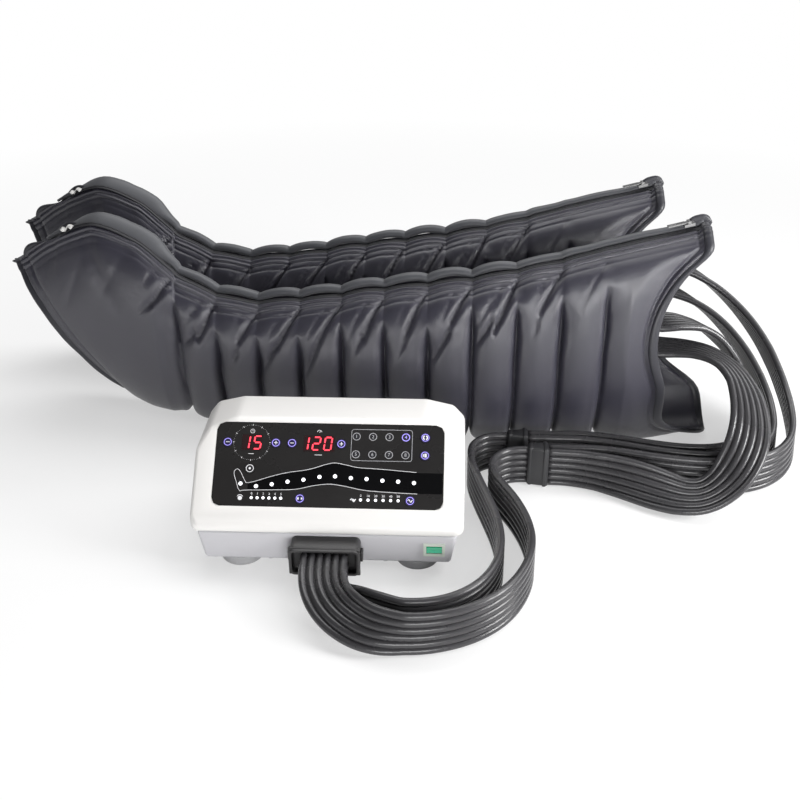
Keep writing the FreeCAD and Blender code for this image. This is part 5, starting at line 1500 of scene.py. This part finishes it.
def outer_grid(settings):
    """The skin with its relief, as an array of rows and columns of points."""
    places, turns = sleeve_lines(settings)
    plain = skin_points(places, turns)
    ahead = skin_points(np.minimum(places + 0.03, LAST_PLACE), turns)
    ahead = ahead - skin_points(np.maximum(places - 0.03, 0), turns)
    aside = skin_points(places, turns + 0.02) - skin_points(places, turns - 0.02)
    outward = np.cross(ahead, aside)
    outward /= np.linalg.norm(outward, axis=-1, keepdims=True)
    centre = plain.mean(1, keepdims=True)
    outward *= np.sign(((plain - centre) * outward).sum(-1, keepdims=True))
    steps = np.linalg.norm(np.roll(plain, -1, 1) - plain, axis=-1)
    travelled = np.cumsum(steps, 1) - steps
    whole = steps.sum(1, keepdims=True)
    from_zip = np.where(travelled < whole / 2, travelled, travelled - whole)
    to_rim = np.full(places.shape, 1.0)
    to_sole = np.full(places.shape, 1.0)
    tail = settings.rows * 3
    to_rim[-tail:] = nearest_of(plain[-tail:], plain[-1, ::2])
    to_sole[:settings.rows] = nearest_of(plain[:settings.rows], plain[0, ::2])
    lift = relief(settings, plain, from_zip, to_rim, to_sole)
    moved = plain + outward * lift[..., None]
    # the toe's upper corner is drawn out and up to a point
    corner = np.exp(-to_sole / (30 * MM)) * bump(from_zip, 34 * MM) * (places < 1.5)
    moved += corner[..., None] * np.array([-4 * MM, 0, 4 * MM])
    # where the foot is thin, folds may not push one side through the other
    middle = sections_at(places)[..., 5]
    side = np.sign(np.sin(turns))
    least = 0.7 * MM * np.clip(np.abs(np.sin(turns)) * 12, 0, 1)
    kept = middle - side * np.maximum((middle - moved[..., 1]) * side, least)
    moved[..., 1] = np.where(places < FOOT_END_PLACE, kept, moved[..., 1])
    moved[..., 2] = np.maximum(moved[..., 2], 0.6 * MM)
    return moved


def as_vectors(points):
    return [Vector(point) for point in points]


def unit(vectors):
    return vectors / np.linalg.norm(vectors, axis=-1, keepdims=True)


def make_sleeve_body(settings):
    """One closed skin: outside, rim, lining, and the sunken end of the foot."""
    rows = outer_grid(settings)
    columns = rows.shape[1]
    axis = rows.mean(1)
    # the lining runs back from the rim, thin at the hem and a chamber thick further in
    order = np.arange(0, len(rows) - settings.rows * 3, 7)
    back = len(rows) - 1 - order
    thick = mix(LINING_HEM, LINING_DEEP, soft_step(order, 0, 70)) * MM
    inner = rows[back]
    wave = 2.0 * MM * np.sin(order[:, None] * 0.13 + np.arange(columns)[None] * 0.06) * (order[:, None] > 20)
    inward = unit((axis[back][:, None] - inner) * (0.2, 1, 1))
    lining = inner + inward * (thick[:, None] + wave)[..., None]
    # the foot's end: a thin lip, then a dark hollow
    heading = unit(axis[0] - axis[4])
    to_axis = unit(axis[0] - rows[0])
    hollow = np.array([rows[0] + to_axis * inset * MM - heading * sink * MM for inset, sink in HOLLOW])
    skin = np.concatenate([rows, lining, hollow]).reshape(-1, 3)
    rings = len(rows) + len(lining)
    base = rings * columns
    faces = grid_faces(rings, columns) + ring_faces(base, 0, columns)
    for step in range(len(hollow) - 1):
        faces += ring_faces(base + (step + 1) * columns, base + step * columns, columns)
    # both ends close in a point
    lining_end, hollow_end, tip = base - columns, len(skin) - columns, len(skin)
    for column in range(columns):
        after = (column + 1) % columns
        faces += [(lining_end + column, lining_end + after, tip),
                  (hollow_end + after, hollow_end + column, tip + 1)]
    tips = [lining[-1].mean(0) - np.array([12 * MM, 0, 0]), axis[0] - heading * HOLLOW_BOTTOM * MM]
    body = face_outwards(from_mesh("sleeve_body", np.vstack([skin, tips]), faces))
    layer = body.data.uv_layers.new(name="cloth")
    places = np.array([vertex.co[:] for vertex in body.data.vertices])
    corners = np.array([loop.vertex_index for loop in body.data.loops])
    flat = np.stack([places[:, 0], places[:, 2] + places[:, 1] * 0.5], -1)[corners]
    layer.data.foreach_set("uv", flat.ravel())
    return body, rows


def column_at(rows, distance):
    """A point of each row, this far round from the zip line, positive on the near side."""
    half = rows.shape[1] // 2
    ring = np.roll(rows[:, ::-1], 1, 1) if distance < 0 else rows
    steps = np.linalg.norm(ring[:, 1:half] - ring[:, :half - 1], axis=-1)
    index = (np.cumsum(steps, 1) < abs(distance)).sum(1)
    return ring[np.arange(len(rows)), index]


def smooth_line(points, rounds=3):
    for _ in range(rounds):
        points = np.vstack([points[:1], (points[:-2] + 2 * points[1:-1] + points[2:]) / 4, points[-1:]])
    return points


def seam_arch(x):
    """1 over the middle of a chamber, 0 at its seams, and level past the last seam."""
    chamber = (x - FIRST_SEAM) / CHAMBER_PITCH
    arch = np.abs(np.sin(np.pi * chamber)) ** 0.7
    level = np.clip(soft_step(chamber, SEAMS - 2.3, SEAMS - 1.6) + (chamber < 0), 0, 1)
    return mix(arch, LEVEL_ARCH, level)


def flat_ring(half, thick):
    return [(-half, -thick), (half, -thick), (half, thick), (-half, thick)]


def make_ridge(rows, settings):
    """The rolled top edge behind the zip: a broad flap over the foot, then a soft wavy roll."""
    first = int(settings.rows * 0.62)
    line = smooth_line(column_at(rows, -11 * MM)[first:-1])
    x = line[:, 0]
    lift = (2.6 + 3.4 * seam_arch(x)) * MM * (1 - 0.75 * soft_step(x, 120 * MM, 260 * MM))
    lift += 1.1 * MM * noise_at(np.stack([x, x * 0, x * 0], -1), (24, 1, 1), 3.0)
    line = line + np.stack([x * 0, x * 0 + 1.5 * MM, lift], -1)
    path = as_vectors(line[::2])
    heads = tangents(path)
    outline = circle(1.0, 14)

    def section(index, share):
        x = path[index].x
        flap = ramp(x, *FLAP_START) * (1 - ramp(x, *FLAP_END))
        size = (1 - 0.2 * ramp(x, 250 * MM, 330 * MM)) * (0.35 + 0.65 * ramp(share, 0, 0.05))
        wide = mix(7.2, 12.5, flap) * MM * size
        high = mix(5.4, 5.2, flap) * MM * size
        across, lift = across_and_lift(heads[index])
        return [(u * wide, v * high - u * wide * 0.62 * flap) for u, v in outline], across, lift

    return sweep("ridge", path, section)


def make_zip(rows, settings):
    """The zip: a woven tape in the valley beside the ridge, and its closed coil of teeth."""
    first = int(settings.rows * 0.9)
    near, far, valley = (smooth_line(column_at(rows, side * MM)[first:-2]) for side in (7, -7, 0.2))
    middle = (near + far) / 2
    middle[:, 2] = valley[:, 2] + 1.6 * MM
    near, far, middle = (as_vectors(line[::2]) for line in (near, far, middle))
    heads = tangents(middle)

    def tape_section(index, share):
        across = (far[index] - near[index]).normalized()
        lift = upward(heads[index].cross(across).normalized())
        return flat_ring(TAPE_HALF_WIDTH, TAPE_HALF_THICK), across, lift

    tape = sweep("zip_tape_cloth", middle, tape_section)
    coil = []
    for index in range(len(middle) - 1):
        span = (middle[index + 1] - middle[index]).length
        parts = max(2, 2 * round(span / COIL_PITCH))
        across = (far[index] - near[index]).normalized()
        for part in range(parts):
            side = 1 if part % 2 else -1
            place = middle[index].lerp(middle[index + 1], part / parts)
            coil.append(place + across * side * COIL_SWING + UP * COIL_RISE)
    turns = tangents(coil)
    wire = circle(WIRE_RADIUS, 10)
    teeth = sweep("zip_teeth", coil, lambda index, share: (wire, *across_and_lift(turns[index])))
    return tape, teeth


def make_mouth_piping(rows):
    """A thick rounded hem all round the open end."""
    out = unit(rows[-1] - rows[-4])
    path = as_vectors(rows[-1] - out * 2.5 * MM)[::2]
    centre = sum(path, Vector()) / len(path)
    heads = tangents(path, True)
    ahead = as_vectors(out)[::2]
    outline = [(u * 6.2 * MM, v * 3.3 * MM) for u, v in circle(1.0, 12)]

    def section(index, share):
        thick = heads[index].cross(ahead[index]).normalized()
        if thick.dot(path[index] - centre) < 0:
            thick = -thick
        return outline, ahead[index], thick

    return sweep("mouth_piping", path, section, closed=True)


def make_sole_band(rows):
    """The inner panel's hem, which stands out past the outer one with a wavy edge."""
    rim = rows[0]
    axis = rim.mean(0)
    heading = unit(axis - rows[4].mean(0))
    outward = unit(rim - axis)
    even = np.arange(len(rim)) / len(rim)
    turn = 2 * np.pi * even
    wave = np.array([noise.noise(Vector((share * 26, 1.0, 0.0))) for share in even])
    # the far side's edge stands up in soft lobes behind the toe
    lobes = soft_step(-np.sin(turn), 0.0, 0.5) * (0.5 + 0.5 * np.cos(turn * 9 + 0.6)) * (np.cos(turn) > 0)
    reach = (3.5 + 3.0 * wave + 5.5 * np.clip(np.sin(turn), 0, 1) + 9.0 * lobes) * MM
    inner = rim - heading * 9 * MM - outward * 5.0 * MM
    outer = rim + heading * reach[:, None] + outward * (4.0 * lobes - 1.0)[:, None] * MM
    for _ in range(6):
        inner, outer = ((np.roll(line, 1, 0) + 2 * line + np.roll(line, -1, 0)) / 4
                        for line in (inner, outer))
    inner, outer = as_vectors(inner), as_vectors(outer)
    places = [(a + b) / 2 for a, b in zip(inner, outer)]
    centre = Vector(axis)

    def section(index, share):
        along = outer[index] - inner[index]
        half = along.length / 2
        along.normalize()
        thick = (places[index] - centre).normalized()
        thick = (thick - along * thick.dot(along)).normalized()
        thin = 1.2 * MM
        edge = [(-half, -thin), (half - thin, -thin), (half, -0.8 * thin), (half + 0.9 * thin, 0),
                (half, 0.8 * thin), (half - thin, thin), (-half, thin)]
        return edge, along, thick

    return sweep("sole_band", places, section, closed=True)


def make_toe_ruffle(rows):
    """The far panel's free edge over the toe, which stands up behind the near one in soft lobes."""
    line = smooth_line(column_at(rows, -15 * MM)[:int(len(rows) * 0.11)], 8)
    path = as_vectors(line)
    axis = as_vectors(rows[:len(line)].mean(1))
    heads = tangents(path)

    def section(index, share):
        across, lift = across_and_lift(heads[index], path[index] - axis[index])
        lobes = 0.62 - 0.38 * math.cos(4 * math.pi * min(1.0, share * 1.12))
        ends = ramp(share, 0, 0.12) * (1 - 0.8 * ramp(share, 0.7, 1))
        high = (2 + 13 * lobes * ends) * MM
        lean = 3.0 * math.sin(share * 9) * MM
        thin = 1.9 * MM
        top = [(side * thin, rise * thin) for side, rise in
               ((1.5, -1), (1, 0), (0, 0.5), (-1, 0), (-1.5, -1))]
        edge = [(-thin, -8 * MM), (thin, -8 * MM), (thin, 0), (lean * 0.6 + thin, high * 0.6)]
        edge += [(lean + side, high + rise) for side, rise in top]
        edge += [(lean * 0.6 - thin, high * 0.6), (-thin, 0)]
        return edge, across, upward(lift)

    return sweep("toe_ruffle", path, section)


def make_tab(rows, settings):
    """A short white loop of webbing at the lower end of the zip."""
    place, further = (Vector(column_at(rows, 0.2 * MM)[settings.rows + step]) for step in (0, 6))
    ahead = (further - place).normalized()
    aside = Vector((0, 1, 0))
    lift = upward(ahead.cross(aside).normalized())
    path = [place + ahead * step * 1.4 * MM + lift * (4.5 + 2.2 * math.sin(step * 0.7)) * MM
            for step in range(-6, 7)]

    def section(index, share):
        return flat_ring((5.2 + 1.2 * math.sin(index * 1.3)) * MM, 0.7 * MM), aside, lift

    return sweep("zip_tab", path, section)


def make_end_tab(rows):
    """The far panel's rounded corner, which stands up behind the slider."""
    before, far = (Vector(column_at(rows, -12 * MM)[index]) for index in (-20, -1))
    ahead = (far - before).normalized()
    aside = Vector((0, 1, 0))
    lift = upward(ahead.cross(aside).normalized())
    steps = 24
    path = [far + ahead * (step / steps * 48 - 41) * MM for step in range(steps + 1)]
    outline = circle(1.0, 16)

    def section(index, share):
        rounded = math.sqrt(max(0.02, 1 - (max(0.0, share - 0.70) / 0.30) ** 2.4))
        top = (1.5 + 11.5 * ramp(share, 0, 0.62)) * rounded * MM
        bottom = -9.0 * rounded * MM
        middle, half = (top + bottom) / 2, (top - bottom) / 2
        return [(u * 2.6 * MM, middle + v * half) for u, v in outline], aside, lift

    return sweep("end_tab", path, section)


class PUMP_OT_sleeves(bpy.types.Operator):
    """Model one leg sleeve with its seams, hems and zip, and copy it for the other leg"""
    bl_idname = "pump.sleeves"
    bl_label = "Leg sleeves"

    def execute(self, context):
        settings = context.scene.pump_sleeve
        body, rows = make_sleeve_body(settings)
        tape, teeth = make_zip(rows, settings)
        pieces = {
            "sleeve_body": (body, "sleeve_fabric", "sleeve_fabric", ("sleeve", "air_chambers")),
            # the ridge's lighter finish is a painted highlight
            "ridge": (make_ridge(rows, settings), "ridge_fabric_painted_highlight", "sleeve_fabric", ()),
            "toe_ruffle": (make_toe_ruffle(rows), "welt_fabric", "sleeve_fabric", ()),
            "zip_tape_cloth": (tape, "zip_fabric", "zip_fabric", ("zip_tape",)),
            "zip_teeth": (teeth, "zip_fabric", "zip_fabric", ()),
            "mouth_piping": (make_mouth_piping(rows), "welt_fabric", "sleeve_fabric", ()),
            "sole_band": (make_sole_band(rows), "welt_fabric", "sleeve_fabric", ()),
            "zip_tab": (make_tab(rows, settings), "tab_fabric", "zip_fabric", ()),
            "end_tab": (make_end_tab(rows), "welt_fabric", "sleeve_fabric", ()),
        }
        for label, (item, material, slot, replaced) in pieces.items():
            twin = item.copy()
            twin.data = item.data.copy()
            context.scene.collection.objects.link(twin)
            for side, copy in zip(SIDES, (item, twin)):
                copy.name = copy.data.name = f"{side}_{label}"
                copy.data.transform(Matrix.Translation(sleeve_origin(side)))
                finish_piece(copy, MATERIALS[material],
                             replaced=[f"{side}_{name}" for name in replaced])
        return {"FINISHED"}


# ---------------------------------------------------------------- panel and registration

class PUMP_PT_sidebar(bpy.types.Panel):
    bl_label = "Therapy Pump"
    bl_idname = "PUMP_PT_sidebar"
    bl_space_type = "VIEW_3D"
    bl_region_type = "UI"
    bl_category = "Therapy Pump"

    def draw(self, context):
        for settings in (context.scene.pump_stage, context.scene.pump_console, context.scene.pump_sleeve,
                         context.scene.pump_hose):
            for name in settings.__annotations__:
                self.layout.prop(settings, name)
        for operator in OPERATORS:
            self.layout.operator(operator.bl_idname)


SETTINGS = {"pump_stage": StageSettings, "pump_console": ConsoleSettings, "pump_sleeve": SleeveSettings,
            "pump_hose": HoseSettings}
OPERATORS = (PUMP_OT_materials, PUMP_OT_stage, PUMP_OT_hoses, PUMP_OT_case, PUMP_OT_panel, PUMP_OT_fittings,
             PUMP_OT_sleeves)


def register():
    for item in (*SETTINGS.values(), *OPERATORS, PUMP_PT_sidebar):
        bpy.utils.register_class(item)
    for name, kind in SETTINGS.items():
        setattr(bpy.types.Scene, name, PointerProperty(type=kind))


def unregister():
    for name in SETTINGS:
        delattr(bpy.types.Scene, name)
    for item in (PUMP_PT_sidebar, *reversed(OPERATORS), *SETTINGS.values()):
        bpy.utils.unregister_class(item)


def main():
    register()
    bpy.ops.pump.materials()
    bpy.ops.pump.stage()
    bpy.ops.pump.hoses()
    bpy.ops.pump.case()
    bpy.ops.pump.panel()
    bpy.ops.pump.fittings()
    bpy.ops.pump.sleeves()


if __name__ == "__main__":
    main()
